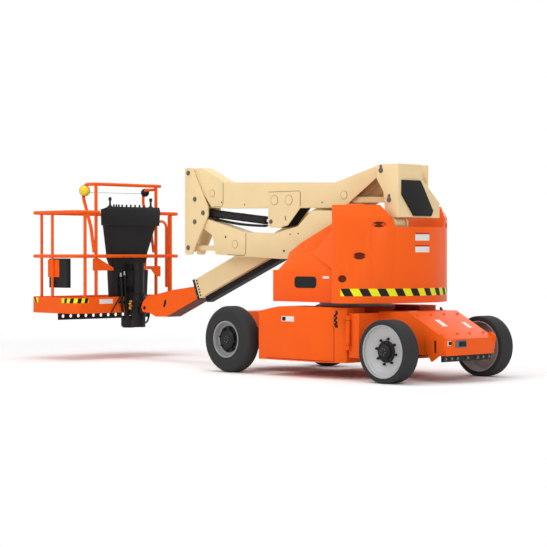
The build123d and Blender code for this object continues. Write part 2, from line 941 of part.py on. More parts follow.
# Tower cylinder between the front upright and the bracket under the mid boom
run_x = tower_cylinder_head_x - tower_cylinder_foot_x
run_z = tower_cylinder_head_z - tower_cylinder_foot_z
run = hypot(run_x, run_z)


def cylinder_axis(foot_x, foot_z, head_x, head_z, y):
    """A plane at a cylinder's foot, with depth along its rod and its first axis across the machine."""
    length = hypot(head_x - foot_x, head_z - foot_z)
    way = ((head_x - foot_x) / length, 0, (head_z - foot_z) / length)
    return Plane(origin=(swing_x + foot_x, y, foot_z), x_dir=(0, 1, 0), z_dir=way)


tower_axis = cylinder_axis(
    tower_cylinder_foot_x, tower_cylinder_foot_z, tower_cylinder_head_x, tower_cylinder_head_z, tower_y
)
barrel_length = 800
with BuildPart() as tower_barrel:
    with BuildSketch(tower_axis.offset(40)):
        Circle(cylinder_radius)
    extrude(amount=barrel_length)
    cross_bar(tower_cylinder_foot_x, tower_cylinder_foot_z, 46, tower_y - 40, tower_y + 40)
    cross_bar(
        tower_cylinder_foot_x,
        tower_cylinder_foot_z,
        pin_radius + pin_clearance,
        tower_y - 40,
        tower_y + 40,
        Mode.SUBTRACT,
    )
    with BuildSketch(tower_axis.offset(60)):
        Circle(rod_radius + running_gap)
    extrude(amount=barrel_length, mode=Mode.SUBTRACT)
write(tower_barrel, "tower_cylinder_barrel")

with BuildPart() as tower_rod:
    with BuildSketch(tower_axis.offset(62)):
        Circle(rod_radius)
    extrude(amount=run - 62)
    cross_bar(tower_cylinder_head_x, tower_cylinder_head_z, 40, tower_y - 40, tower_y + 40)
write(tower_rod, "tower_cylinder_rod")

# Rear upright: plates for the mid boom and its link, and for the main boom beside them
main_half = main_width / 2
main_plate_inner = main_half + 8
rear_outline = [
    (-790, 1465),
    (-700, 1465),
    (-630, 1540),
    (-610, 1700),
    (-528, 1820),
    (-525, 1945),
    (-790, 1945),
]
foot_outline = [
    (-790, 1465),
    (lift_foot_x - 20, 1465),
    (lift_foot_x + 55, lift_foot_z - 20),
    (lift_foot_x + 45, lift_foot_z + 45),
    (lift_foot_x - 60, lift_foot_z + 90),
    (-790, 1700),
]
rear_pins = (mid_rear, (mid_rear_x + mid_link_x, mid_rear_z + mid_link_z))
with BuildPart() as rear_upright:
    plate(rear_outline, near_plate, plate_thickness)
    plate(rear_outline, far_plate, plate_thickness)
    plate(rear_outline, -main_plate_inner, plate_thickness)
    for face in (main_plate_inner + plate_thickness, -main_plate_inner):
        plate(foot_outline, face, plate_thickness)
    for pin in rear_pins:
        cross_bar(*pin, pin_radius, far_plate - plate_thickness, near_plate)
    for pin in ((boom_pivot_x, boom_pivot_z), (lift_foot_x, lift_foot_z)):
        cross_bar(*pin, pin_radius, -main_plate_inner - plate_thickness, far_plate)
    with BuildSketch(cross_view(-790)):
        with BuildLine():
            Polyline(
                (near_plate, 1465),
                (near_plate, 1945),
                (-20, 1945),
                (-40, 1810),
                (-280, 1600),
                (-280, 1465),
                close=True,
            )
        make_face()
    extrude(amount=16)
write(rear_upright, "rear_upright")

# Black cover on the back of the rear upright
with BuildPart() as rear_cover:
    with BuildSketch(cross_view(-790)):
        with BuildLine():
            Polyline(
                (255, 1800),
                (5, 1800),
                (-40, 1735),
                (-170, 1530),
                (-145, 1478),
                (95, 1478),
                (255, 1665),
                close=True,
            )
        make_face()
    extrude(amount=-22)
write(rear_cover, "rear_cover")

# Main boom: a rectangular tube on its pivot, with lugs for the lift cylinder below
boom_half = main_height / 2
boom_tube_wall = 10
lift_head_x, lift_head_z = on_boom(lift_head_along, -lift_head_drop)
lift_lug = [
    on_boom(lift_head_along - 110, -boom_half + 4),
    on_boom(lift_head_along + 110, -boom_half + 4),
    on_boom(lift_head_along + 45, -lift_head_drop - 42),
    on_boom(lift_head_along - 45, -lift_head_drop - 42),
]
with BuildPart() as main_boom:
    plate(boom_stretch(-main_rear, main_front, -boom_half, boom_half), main_half, main_width)
    plate(
        boom_stretch(180, main_front + 1, -boom_half + boom_tube_wall, boom_half - boom_tube_wall),
        main_half - boom_tube_wall,
        main_width - 2 * boom_tube_wall,
        mode=Mode.SUBTRACT,
    )
    for face in (60, -42):
        plate(lift_lug, face, plate_thickness)
    plate(
        [on_boom(-main_rear - 60, -12), on_boom(170, boom_half + 2), on_boom(-main_rear - 60, boom_half + 2)],
        main_half,
        main_width,
        mode=Mode.SUBTRACT,
    )
    cross_bar(boom_pivot_x, boom_pivot_z, pin_radius + pin_clearance, -main_half, main_half, Mode.SUBTRACT)
write(main_boom, "main_boom")

# Wear ring at the main boom's mouth, round the fly tube
with BuildPart() as boom_wear_ring:
    plate(
        boom_stretch(main_front, main_front + wear_ring_depth, -boom_half - 6, boom_half + 6),
        main_half + 6,
        main_width + 12,
    )
    plate(
        boom_stretch(
            main_front - 1,
            main_front + wear_ring_depth + 1,
            -fly_height / 2 - running_gap,
            fly_height / 2 + running_gap,
        ),
        fly_width / 2 + running_gap,
        fly_width + 2 * running_gap,
        mode=Mode.SUBTRACT,
    )
write(boom_wear_ring, "boom_wear_ring")

# Power track tray under the main boom
with BuildPart() as power_track:
    plate(boom_stretch(main_front / 2, main_front - 40, -boom_half - track_depth, -boom_half), 45, 90)
write(power_track, "power_track")

# Lift cylinder of the main boom
lift_axis = cylinder_axis(lift_foot_x, lift_foot_z, lift_head_x, lift_head_z, 0)
lift_run = hypot(lift_head_x - lift_foot_x, lift_head_z - lift_foot_z)
lift_barrel_length = 640
with BuildPart() as lift_barrel:
    with BuildSketch(lift_axis.offset(42)):
        Circle(cylinder_radius + 4)
    extrude(amount=lift_barrel_length)
    cross_bar(lift_foot_x, lift_foot_z, 48, -36, 36)
    cross_bar(lift_foot_x, lift_foot_z, pin_radius + pin_clearance, -36, 36, Mode.SUBTRACT)
    with BuildSketch(lift_axis.offset(60)):
        Circle(rod_radius + running_gap)
    extrude(amount=lift_barrel_length, mode=Mode.SUBTRACT)
write(lift_barrel, "lift_cylinder_barrel")

with BuildPart() as lift_rod:
    with BuildSketch(lift_axis.offset(62)):
        Circle(rod_radius)
    extrude(amount=lift_run - 62)
    cross_bar(lift_head_x, lift_head_z, 38, -36, 36)
write(lift_rod, "lift_cylinder_rod")

# Fly boom: the inner tube and its dropped nose with the levelling pivot
fly_half = fly_height / 2
fly_side = fly_width / 2
nose_start = main_front + wear_ring_depth + 6
nose_outline = [
    on_boom(nose_start, fly_half + 16),
    (2550, 712),
    (2905, 650),
    (2880, 560),
    (2700, 415),
    (2545, 389),
    on_boom(nose_start, -fly_half - 10),
]
nose_hollow = [
    on_boom(nose_start + 62, fly_half - 4),
    (2550, 696),
    (2950, 626),
    (2950, 300),
    (2500, 300),
    on_boom(nose_start + 62, -fly_half + 8),
]
ear_outline = [(2860, 655), (3010, 612), (3035, 560), (3010, 515), (2850, 530)]
with BuildPart() as fly_boom:
    plate(boom_stretch(fly_rear, nose_start + 60, -fly_half, fly_half), fly_side, fly_width)
    plate(
        boom_stretch(fly_rear - 1, nose_start - 40, -fly_half + 10, fly_half - 10),
        fly_side - 10,
        fly_width - 20,
        mode=Mode.SUBTRACT,
    )
    plate(nose_outline, main_half, main_width)
    plate(nose_hollow, main_half - plate_thickness, main_width - 2 * plate_thickness, mode=Mode.SUBTRACT)
    for face in (main_half, -main_half + plate_thickness):
        plate(ear_outline, face, plate_thickness)
    cross_bar(level_pin_x, level_pin_z, pin_radius - 6, -main_half, main_half)
write(fly_boom, "fly_boom")

# Platform support: levelled on the fly nose, it carries the upright rotator
support_half = main_half - plate_thickness - 3
rotator_radius = 75
with BuildPart() as platform_support:
    plate(
        [(2985, 604), (3190, 630), (3190, 490), (2985, 516)],
        support_half,
        2 * support_half,
    )
    post(rotator_x, 0, rotator_radius, rotator_bottom, 700)
    cross_bar(level_pin_x, level_pin_z, 44, -support_half, support_half)
    cross_bar(
        level_pin_x, level_pin_z, pin_radius - 6 + pin_clearance, -support_half, support_half, Mode.SUBTRACT
    )
    post(rotator_x, 0, 40, 700, 1040)
write(platform_support, "platform_support")

# Platform mount: turns on the rotator and holds the platform
with BuildPart() as platform_mount:
    post(rotator_x, 0, 62, 706, 1035)
    post(rotator_x, 0, 40 + running_gap, 705, 1041, Mode.SUBTRACT)
    for low in (720, 960):
        block(rotator_x + 45, platform_back - 20, -50, 50, low, low + 60)
    block(platform_back - 45, platform_back - rail_radius - running_gap, -60, 60, 470, 1040)
write(platform_mount, "platform_mount")

# Platform floor: a tray with a toe board round it
floor_half = platform_width / 2
floor_plan = (platform_back + platform_front) / 2
with BuildPart() as platform_floor:
    with BuildSketch(level(toe_bottom)):
        with Locations((floor_plan, 0)):
            RectangleRounded(platform_depth + 2 * rail_radius, platform_width, corner_radius)
    extrude(amount=toe_top - toe_bottom)
    with BuildSketch(level(floor_height)):
        with Locations((floor_plan, 0)):
            RectangleRounded(platform_depth + 2 * rail_radius - 8, platform_width - 8, corner_radius - 4)
    extrude(amount=toe_top, mode=Mode.SUBTRACT)
    with BuildSketch(level(toe_bottom)):
        with Locations((floor_plan, 0)):
            RectangleRounded(platform_depth + 2 * rail_radius - 8, platform_width - 8, corner_radius - 4)
    extrude(amount=floor_height - toe_bottom - floor_plate, mode=Mode.SUBTRACT)
write(platform_floor, "platform_floor")

# Step bar with round holes under the platform
step_x = platform_back + platform_depth * 0.55
step_count = 12
step_pitch = 104
with BuildPart() as step_bar:
    block(step_x - 3, step_x + 3, -640, 640, toe_bottom - 78, floor_height - floor_plate)
    block(step_x - 3, step_x + 50, -640, 640, floor_height - floor_plate - 6, floor_height - floor_plate)
    for count in range(step_count):
        with Locations((swing_x + step_x, (count - (step_count - 1) / 2) * step_pitch, toe_bottom - 38)):
            Cylinder(19, 80, rotation=(0, 90, 0), mode=Mode.SUBTRACT)
write(step_bar, "step_bar")

# Platform rails: posts between bent hoops, each tube its own solid
back = platform_back
front = platform_front
rail_half = floor_half - rail_radius
post_base = toe_top + tube_wall_gap
gate_rear = back + 190
gate_front = front - corner_radius + 10
mid_top = mid_rail_height + rail_radius
bend = corner_radius - rail_radius


def rail_run(points, radius, bend_radius):
    """A round tube along a path of straight runs with bent corners, in the machine's lengths."""
    with BuildLine() as run:
        FilletPolyline(*[(swing_x + x, y, z) for x, y, z in points], radius=bend_radius)
    with BuildSketch(Plane(origin=run.line @ 0, z_dir=run.line % 0)) as ring:
        Circle(radius)
    sweep(ring.sketch, path=run.line)


with BuildPart() as platform_mid_rail:
    rail_run(
        [
            (gate_rear, -rail_half, mid_rail_height),
            (back, -rail_half, mid_rail_height),
            (back, rail_half, mid_rail_height),
            (front, rail_half, mid_rail_height),
            (front, -rail_half, mid_rail_height),
            (gate_front, -rail_half, mid_rail_height),
        ],
        rail_radius,
        bend,
    )
write(platform_mid_rail, "platform_mid_rail")

with BuildPart() as platform_rails:
    rail_run(
        [
            (back, guard_half - 14, top_rail_height),
            (back, rail_half, top_rail_height),
            (front, rail_half, top_rail_height),
            (front, -rail_half, top_rail_height),
            (gate_front, -rail_half, top_rail_height),
        ],
        rail_radius,
        bend,
    )
    rail_run(
        [
            (back, -guard_half + 14, top_rail_height),
            (back, -rail_half, top_rail_height),
            (gate_rear, -rail_half, top_rail_height),
        ],
        rail_radius,
        bend,
    )
    low_end = top_rail_height - rail_radius - tube_wall_gap
    post_places = [
        (back, 600),
        (back, -600),
        ((back + front) / 2, rail_half),
        (front, 600),
        (front, 0),
        (front, -600),
        (gate_rear, -rail_half),
        (gate_front, -rail_half),
    ]
    for low in (800, 1370):
        block(gate_front - 46, gate_front - rail_radius + 5, -rail_half - 10, -rail_half + 10, low, low + 30)
        post(gate_front - 46, -rail_half, rail_radius, low, low + 30)
        post(gate_front - 46, -rail_half, rail_radius - 4 + running_gap, low, low + 30, Mode.SUBTRACT)
    for x, y in post_places:
        post(x, y, rail_radius - 3, post_base, mid_rail_height - rail_radius - tube_wall_gap)
        post(x, y, rail_radius - 3, mid_top + tube_wall_gap, low_end)
write(platform_rails, "platform_rails")

# Guard frame: two posts inside the rails, a bar over them and a bent tube before each post
guard_x = back + 2 * rail_radius - 1 + tube_wall_gap
guard_tube = rail_radius - 1
bar_bottom = guard_height - guard_tube + 6
with BuildPart() as guard_frame:
    for sign in (1, -1):
        post(guard_x, sign * guard_half, guard_tube, floor_height, bar_bottom)
    rail_run(
        [
            (guard_x, -guard_half - 60, guard_height),
            (guard_x, guard_half + 22, guard_height),
            (guard_x + guard_bulge, guard_half + 22, guard_height),
            (guard_x + guard_bulge, guard_half + 22, guard_height - 150),
            (guard_x + 60, guard_half + 22, 1420),
            (guard_x + 5, guard_half + 22, mid_rail_height + 40),
        ],
        guard_tube,
        70,
    )
    rail_run(
        [
            (guard_x + 5, 28 - guard_half, guard_height - 40),
            (guard_x + guard_bulge, 28 - guard_half, guard_height - 40),
            (guard_x + guard_bulge, 28 - guard_half, guard_height - 190),
            (guard_x + 60, 28 - guard_half, 1420),
            (guard_x + 5, 28 - guard_half, mid_rail_height + 40),
        ],
        guard_tube - 2,
        70,
    )
write(guard_frame, "guard_frame")

# Entry gate at the right end, hinged on the front post
gate_hinge_x = gate_front - 46
gate_near = gate_rear + 46
with BuildPart() as platform_gate:
    rail_run(
        [
            (gate_hinge_x, -rail_half, 760),
            (gate_hinge_x, -rail_half, 1500),
            (gate_near, -rail_half, 1500),
            (gate_near, -rail_half, 760),
        ],
        rail_radius - 4,
        80,
    )
    with Locations((swing_x + (gate_hinge_x + gate_near) / 2, -rail_half, 1110)):
        Cylinder(rail_radius - 5, gate_hinge_x - gate_near, rotation=(0, 90, 0))
write(platform_gate, "platform_gate")

# Control console: a pedestal, a waist and a body that widens to the control box
console_y = -35
console_stages = (
    ((floor_height, back - 14, back + 132, 206), (960, back - 14, back + 132, 230)),
    ((960, back + 22, back + 128, 186), (1085, back + 22, back + 130, 243)),
    ((1085, back + 22, back + 130, 248), (1140, back + 22, back + 130, 248)),
    ((1140, back + 22, back + 130, 248), (1440, back - 30, back + 92, 323)),
    ((1440, back - 62, back + 82, 352), (1600, back - 70, back + 82, 358)),
)
with BuildPart() as console:
    for stage in console_stages:
        faces = []
        for height, start, end, half in stage:
            with BuildSketch(level(height)) as section:
                with Locations(((start + end) / 2, console_y)):
                    Rectangle(end - start, 2 * half)
            faces.append(section.sketch.face())
        loft(faces, ruled=True)
    plate(
        [(back - 70, 1600), (back - 55, 1642), (back + 82, 1612), (back + 82, 1600)],
        console_y + 358,
        716,
    )
write(console, "console")

# Brackets that hold the console to the guard posts
bracket_x = guard_x - guard_tube - 7 - tube_wall_gap
with BuildPart() as console_brackets:
    for outline in (
        [(480, 1085), (480, 955), (200, 955), (200, 985), (401, 1085)],
        [(-270, 1000), (-465, 1000), (-465, 885), (-401, 885), (-330, 965), (-270, 965)],
    ):
        with BuildSketch(cross_view(bracket_x)) as sheet:
            with BuildLine():
                Polyline(*outline, close=True)
            make_face()
        extrude(sheet.sketch, amount=7)
write(console_brackets, "console_brackets")

# Document box on the left end
with BuildPart() as document_box:
    block(back + 150, back + 460, rail_half - rail_radius - 50, rail_half - rail_radius + 2.7, 772, 1085)
write(document_box, "document_box")
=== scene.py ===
"""Looks of an articulating boom lift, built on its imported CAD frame.

Shapes are worked out in millimetres from the swing axis: x ahead to the platform, y to the
machine's left, z up. Shell.mesh moves them into the row frame, in metres. The stage is in metres.
"""

import json
import logging
import math
from dataclasses import dataclass, field
from enum import Enum
from typing import Dict, List, Optional, Sequence, Tuple

import bmesh
import bpy
import numpy as np
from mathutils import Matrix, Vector

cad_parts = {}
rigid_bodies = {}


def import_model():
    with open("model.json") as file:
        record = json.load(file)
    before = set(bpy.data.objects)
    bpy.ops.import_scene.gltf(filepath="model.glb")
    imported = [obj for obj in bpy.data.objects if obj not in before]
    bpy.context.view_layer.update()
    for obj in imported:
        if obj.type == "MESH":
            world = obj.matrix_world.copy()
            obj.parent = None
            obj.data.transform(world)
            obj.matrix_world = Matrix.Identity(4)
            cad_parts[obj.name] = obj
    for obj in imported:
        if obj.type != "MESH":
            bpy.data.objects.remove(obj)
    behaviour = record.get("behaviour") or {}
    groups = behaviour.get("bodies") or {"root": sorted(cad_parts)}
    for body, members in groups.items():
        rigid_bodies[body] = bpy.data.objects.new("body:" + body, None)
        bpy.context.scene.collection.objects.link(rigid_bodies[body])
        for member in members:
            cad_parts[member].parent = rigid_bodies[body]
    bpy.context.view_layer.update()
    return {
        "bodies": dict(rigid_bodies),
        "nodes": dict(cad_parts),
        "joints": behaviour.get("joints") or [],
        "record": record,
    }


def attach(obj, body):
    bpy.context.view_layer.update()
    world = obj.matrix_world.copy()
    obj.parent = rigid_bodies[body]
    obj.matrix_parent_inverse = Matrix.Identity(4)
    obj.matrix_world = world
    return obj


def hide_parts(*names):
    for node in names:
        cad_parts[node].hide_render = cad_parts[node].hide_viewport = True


LOG = logging.getLogger("boom_lift")
SWING_X = -1.374
MILLIMETRE = 0.001
# Radius of the small flat that closes a turned end.
TIP = 0.5
AHEAD = (1.0, 0.0, 0.0)
LEFT = (0.0, 1.0, 0.0)
UP = (0.0, 0.0, 1.0)
TURN = 2.0 * math.pi
Point = Tuple[float, float, float]
Flat = Tuple[float, float]


class Side(Enum):
    """The machine's two sides, with the sign of y there."""

    LEFT = 1
    RIGHT = -1

    @property
    def label(self) -> str:
        """Gives the side's word in a piece's name."""
        return self.name.lower()


class Finish(Enum):
    """The finishes used on the machine."""

    ORANGE = "orange_enamel"
    CREAM = "cream_enamel"
    MOULDED = "orange_moulding"
    BLACK = "black_enamel"
    PLASTIC = "black_plastic"
    RUBBER = "tyre_rubber"
    SILVER = "rim_enamel"
    GREY = "web_enamel"
    CHROME = "hard_chrome"
    STEEL = "machined_steel"
    ZINC = "zinc_plating"
    CASTING = "rough_casting"
    SHADED = "shaded_orange"
    SEAM = "seam_shade"
    PIN = "pin_steel"
    YELLOW = "warning_yellow"
    INK = "stripe_black"
    PLATE = "bare_plate"
    LENS = "amber_lens"
    RED = "stop_red"
    BRASS = "brass_fitting"


@dataclass(frozen=True)
class Coat:
    """How one finish looks.

    Attributes:
        colour: Display colour, red, green and blue from 0 to 1.
        roughness: Surface roughness.
        metallic: Share of metal in the surface.
        clear: Weight of the clear coat.
        grain: Size of the bump's noise, per metre.
        relief: Strength of the bump.
        wear: How far the noise moves the roughness and the shade.
        gloss: Level of the plain reflection.
    """

    colour: Point
    roughness: float
    metallic: float = 0.0
    clear: float = 0.0
    grain: float = 40.0
    relief: float = 0.0
    wear: float = 0.06
    gloss: float = 0.22


COATS: Dict[Finish, Coat] = {
    Finish.ORANGE: Coat((0.93, 0.365, 0.09), 0.45, clear=0.02, grain=120.0, relief=0.015, gloss=0.08),
    Finish.CREAM: Coat((0.90, 0.80, 0.615), 0.45, clear=0.02, grain=120.0, relief=0.015, gloss=0.1),
    Finish.MOULDED: Coat((0.935, 0.37, 0.09), 0.38, clear=0.04, grain=60.0, relief=0.01, gloss=0.1),
    Finish.BLACK: Coat((0.085, 0.085, 0.09), 0.45, grain=150.0, relief=0.03),
    Finish.PLASTIC: Coat((0.09, 0.09, 0.09), 0.6, grain=500.0, relief=0.10),
    Finish.RUBBER: Coat((0.195, 0.195, 0.20), 0.85, grain=220.0, relief=0.16, wear=0.12),
    Finish.SILVER: Coat((0.68, 0.68, 0.68), 0.42, metallic=0.2, grain=120.0, relief=0.02),
    Finish.GREY: Coat((0.58, 0.58, 0.58), 0.5, grain=120.0, relief=0.02),
    Finish.CHROME: Coat((0.83, 0.84, 0.86), 0.12, metallic=1.0, wear=0.02),
    Finish.STEEL: Coat((0.42, 0.42, 0.43), 0.35, metallic=1.0, grain=200.0, relief=0.03),
    Finish.ZINC: Coat((0.50, 0.49, 0.47), 0.38, metallic=0.9, wear=0.1),
    Finish.CASTING: Coat((0.30, 0.30, 0.31), 0.75, grain=90.0, relief=0.3),
    # Painted shade: a darkened cream for the lines at plate edges and round the bosses.
    Finish.SEAM: Coat((0.50, 0.42, 0.30), 0.7),
    Finish.PIN: Coat((0.42, 0.39, 0.36), 0.4, metallic=0.5, wear=0.1),
    # Painted shade: orange darkened to stand for shadow, used in the pockets, under the fly nose and along
    # the tray seams.
    Finish.SHADED: Coat((0.36, 0.12, 0.03), 0.6),
    Finish.YELLOW: Coat((0.91, 0.90, 0.10), 0.5),
    Finish.INK: Coat((0.05, 0.05, 0.05), 0.5),
    Finish.PLATE: Coat((0.86, 0.86, 0.84), 0.5),
    Finish.LENS: Coat((0.93, 0.80, 0.08), 0.25, clear=0.4),
    Finish.RED: Coat((0.72, 0.05, 0.04), 0.35, clear=0.3),
    Finish.BRASS: Coat((0.72, 0.54, 0.22), 0.3, metallic=1.0),
}


def linear(channel: float) -> float:
    """Turns a display value into a linear one, by the standard curve of displays.

    Args:
        channel: Value from 0 to 1 as shown on a display.

    Returns:
        The linear value that a shader needs.
    """
    return channel / 12.92 if channel <= 0.04045 else ((channel + 0.055) / 1.055) ** 2.4


@dataclass
class MaterialLibrary:
    """Makes each finish once, as a procedural material in object coordinates.

    Attributes:
        cloud: Size of the slow change in shade and roughness, per metre.
        cloud_detail: Octaves of that change.
        grain_detail: Octaves of the bump's noise.
        bump_depth: Height of the bump, in metres.
        clear_roughness: Roughness of every clear coat.
        made: Materials made so far.
    """

    cloud: float = 3.5
    cloud_detail: float = 4.0
    grain_detail: float = 3.0
    bump_depth: float = 0.01
    clear_roughness: float = 0.12
    made: Dict[Finish, bpy.types.Material] = field(default_factory=dict)

    def get(self, finish: Finish) -> bpy.types.Material:
        """Gives a finish's material.

        Args:
            finish: The finish asked for.

        Returns:
            The material, made on the first call.
        """
        if finish not in self.made:
            self.made[finish] = self._make(finish)
        return self.made[finish]

    def _make(self, finish: Finish) -> bpy.types.Material:
        """Builds a finish: slow noise moves its shade and roughness, fine noise raises its grain.

        Args:
            finish: The finish to build.

        Returns:
            The new material.
        """
        coat = COATS[finish]
        material = bpy.data.materials.new(finish.value)
        material.use_nodes = True
        nodes, links = material.node_tree.nodes, material.node_tree.links
        shader = nodes["Principled BSDF"]
        base = [linear(channel) for channel in coat.colour]
        place = nodes.new("ShaderNodeTexCoord")
        cloud = nodes.new("ShaderNodeTexNoise")
        cloud.inputs["Scale"].default_value = self.cloud
        cloud.inputs["Detail"].default_value = self.cloud_detail
        links.new(place.outputs["Object"], cloud.inputs["Vector"])
        shade = nodes.new("ShaderNodeMix")
        shade.data_type = "RGBA"
        links.new(cloud.outputs["Fac"], shade.inputs["Factor"])
        shade.inputs["A"].default_value = (*[c * (1.0 - coat.wear) for c in base], 1.0)
        shade.inputs["B"].default_value = (*[min(1.0, c * (1.0 + coat.wear)) for c in base], 1.0)
        links.new(shade.outputs["Result"], shader.inputs["Base Color"])
        spread = nodes.new("ShaderNodeMapRange")
        spread.inputs["To Min"].default_value = max(0.02, coat.roughness - coat.wear)
        spread.inputs["To Max"].default_value = min(1.0, coat.roughness + coat.wear)
        links.new(cloud.outputs["Fac"], spread.inputs["Value"])
        links.new(spread.outputs["Result"], shader.inputs["Roughness"])
        shader.inputs["Metallic"].default_value = coat.metallic
        shader.inputs["Specular IOR Level"].default_value = coat.gloss
        shader.inputs["Coat Weight"].default_value = coat.clear
        shader.inputs["Coat Roughness"].default_value = self.clear_roughness
        if coat.relief:
            grain = nodes.new("ShaderNodeTexNoise")
            grain.inputs["Scale"].default_value = coat.grain
            grain.inputs["Detail"].default_value = self.grain_detail
            links.new(place.outputs["Object"], grain.inputs["Vector"])
            bump = nodes.new("ShaderNodeBump")
            bump.inputs["Strength"].default_value = coat.relief
            bump.inputs["Distance"].default_value = self.bump_depth
            links.new(grain.outputs["Fac"], bump.inputs["Height"])
            links.new(bump.outputs["Normal"], shader.inputs["Normal"])
        return material


def basis(axis: Sequence[float]) -> np.ndarray:
    """Finds two directions square to an axis, by cross products with an upright or level helper.

    Args:
        axis: The axis, of any length.

    Returns:
        Rows of two cross directions and the unit axis.
    """
    way = np.asarray(axis, float)
    way = way / np.linalg.norm(way)
    helper = np.array(UP) if abs(way[2]) < 0.9 else np.array(AHEAD)
    first = np.cross(helper, way)
    first /= np.linalg.norm(first)
    return np.array([first, np.cross(way, first), way])


def stud(radius: float, height: float, foot: float = 0.0) -> List[Flat]:
    """Gives a plain stud's profile: straight up from the foot, then in to the tip.

    Args:
        radius: Radius of the stud.
        height: Where it ends along its axis.
        foot: Where it starts along its axis.

    Returns:
        Points of distance along the axis and radius.
    """
    return [(foot, radius), (height, radius), (height, TIP)]


def flanged(washer: float, thick: float, head: float, top: float, height: float) -> List[Flat]:
    """Gives the profile of a head that stands on a washer.

    Args:
        washer: Radius of the washer.
        thick: Its thickness.
        head: Radius of the head at its foot.
        top: Radius of the head at its top.
        height: Height of the top.

    Returns:
        Points of distance along the axis and radius.
    """
    return [(0.0, washer), (thick, washer), (thick, head), (height, top), (height, TIP)]


def circle(count: int, radius: float, start: float = 0.0) -> np.ndarray:
    """Spaces points round a circle: the radius times the cosine and sine of equal steps.

    Args:
        count: Number of points.
        radius: Radius of the circle.
        start: Angle of the first point.

    Returns:
        One point per row.
    """
    angle = start + np.linspace(0.0, TURN, count, endpoint=False)
    return radius * np.column_stack([np.cos(angle), np.sin(angle)])


def rectangle(low: Flat, high: Flat) -> List[Flat]:
    """Lists a rectangle's corners.

    Args:
        low: Lowest corner.
        high: Highest corner.

    Returns:
        The four corners in order.
    """
    return [(low[0], low[1]), (high[0], low[1]), (high[0], high[1]), (low[0], high[1])]


def rounded(centres: Sequence[Flat], radius: float, points: int) -> np.ndarray:
    """Outlines equal circles as a belt does: each centre carries an equal share of the turn.

    Args:
        centres: Centres of the circles, in order.
        radius: Their radius.
        points: Points on each arc.

    Returns:
        The outline, one point per row.
    """
    share = TURN / len(centres)
    angle = share * np.arange(len(centres))[:, None] + np.linspace(0.0, share, points)
    arcs = radius * np.stack([np.cos(angle), np.sin(angle)], -1)
    return (np.asarray(centres, float)[:, None] + arcs).reshape(-1, 2)


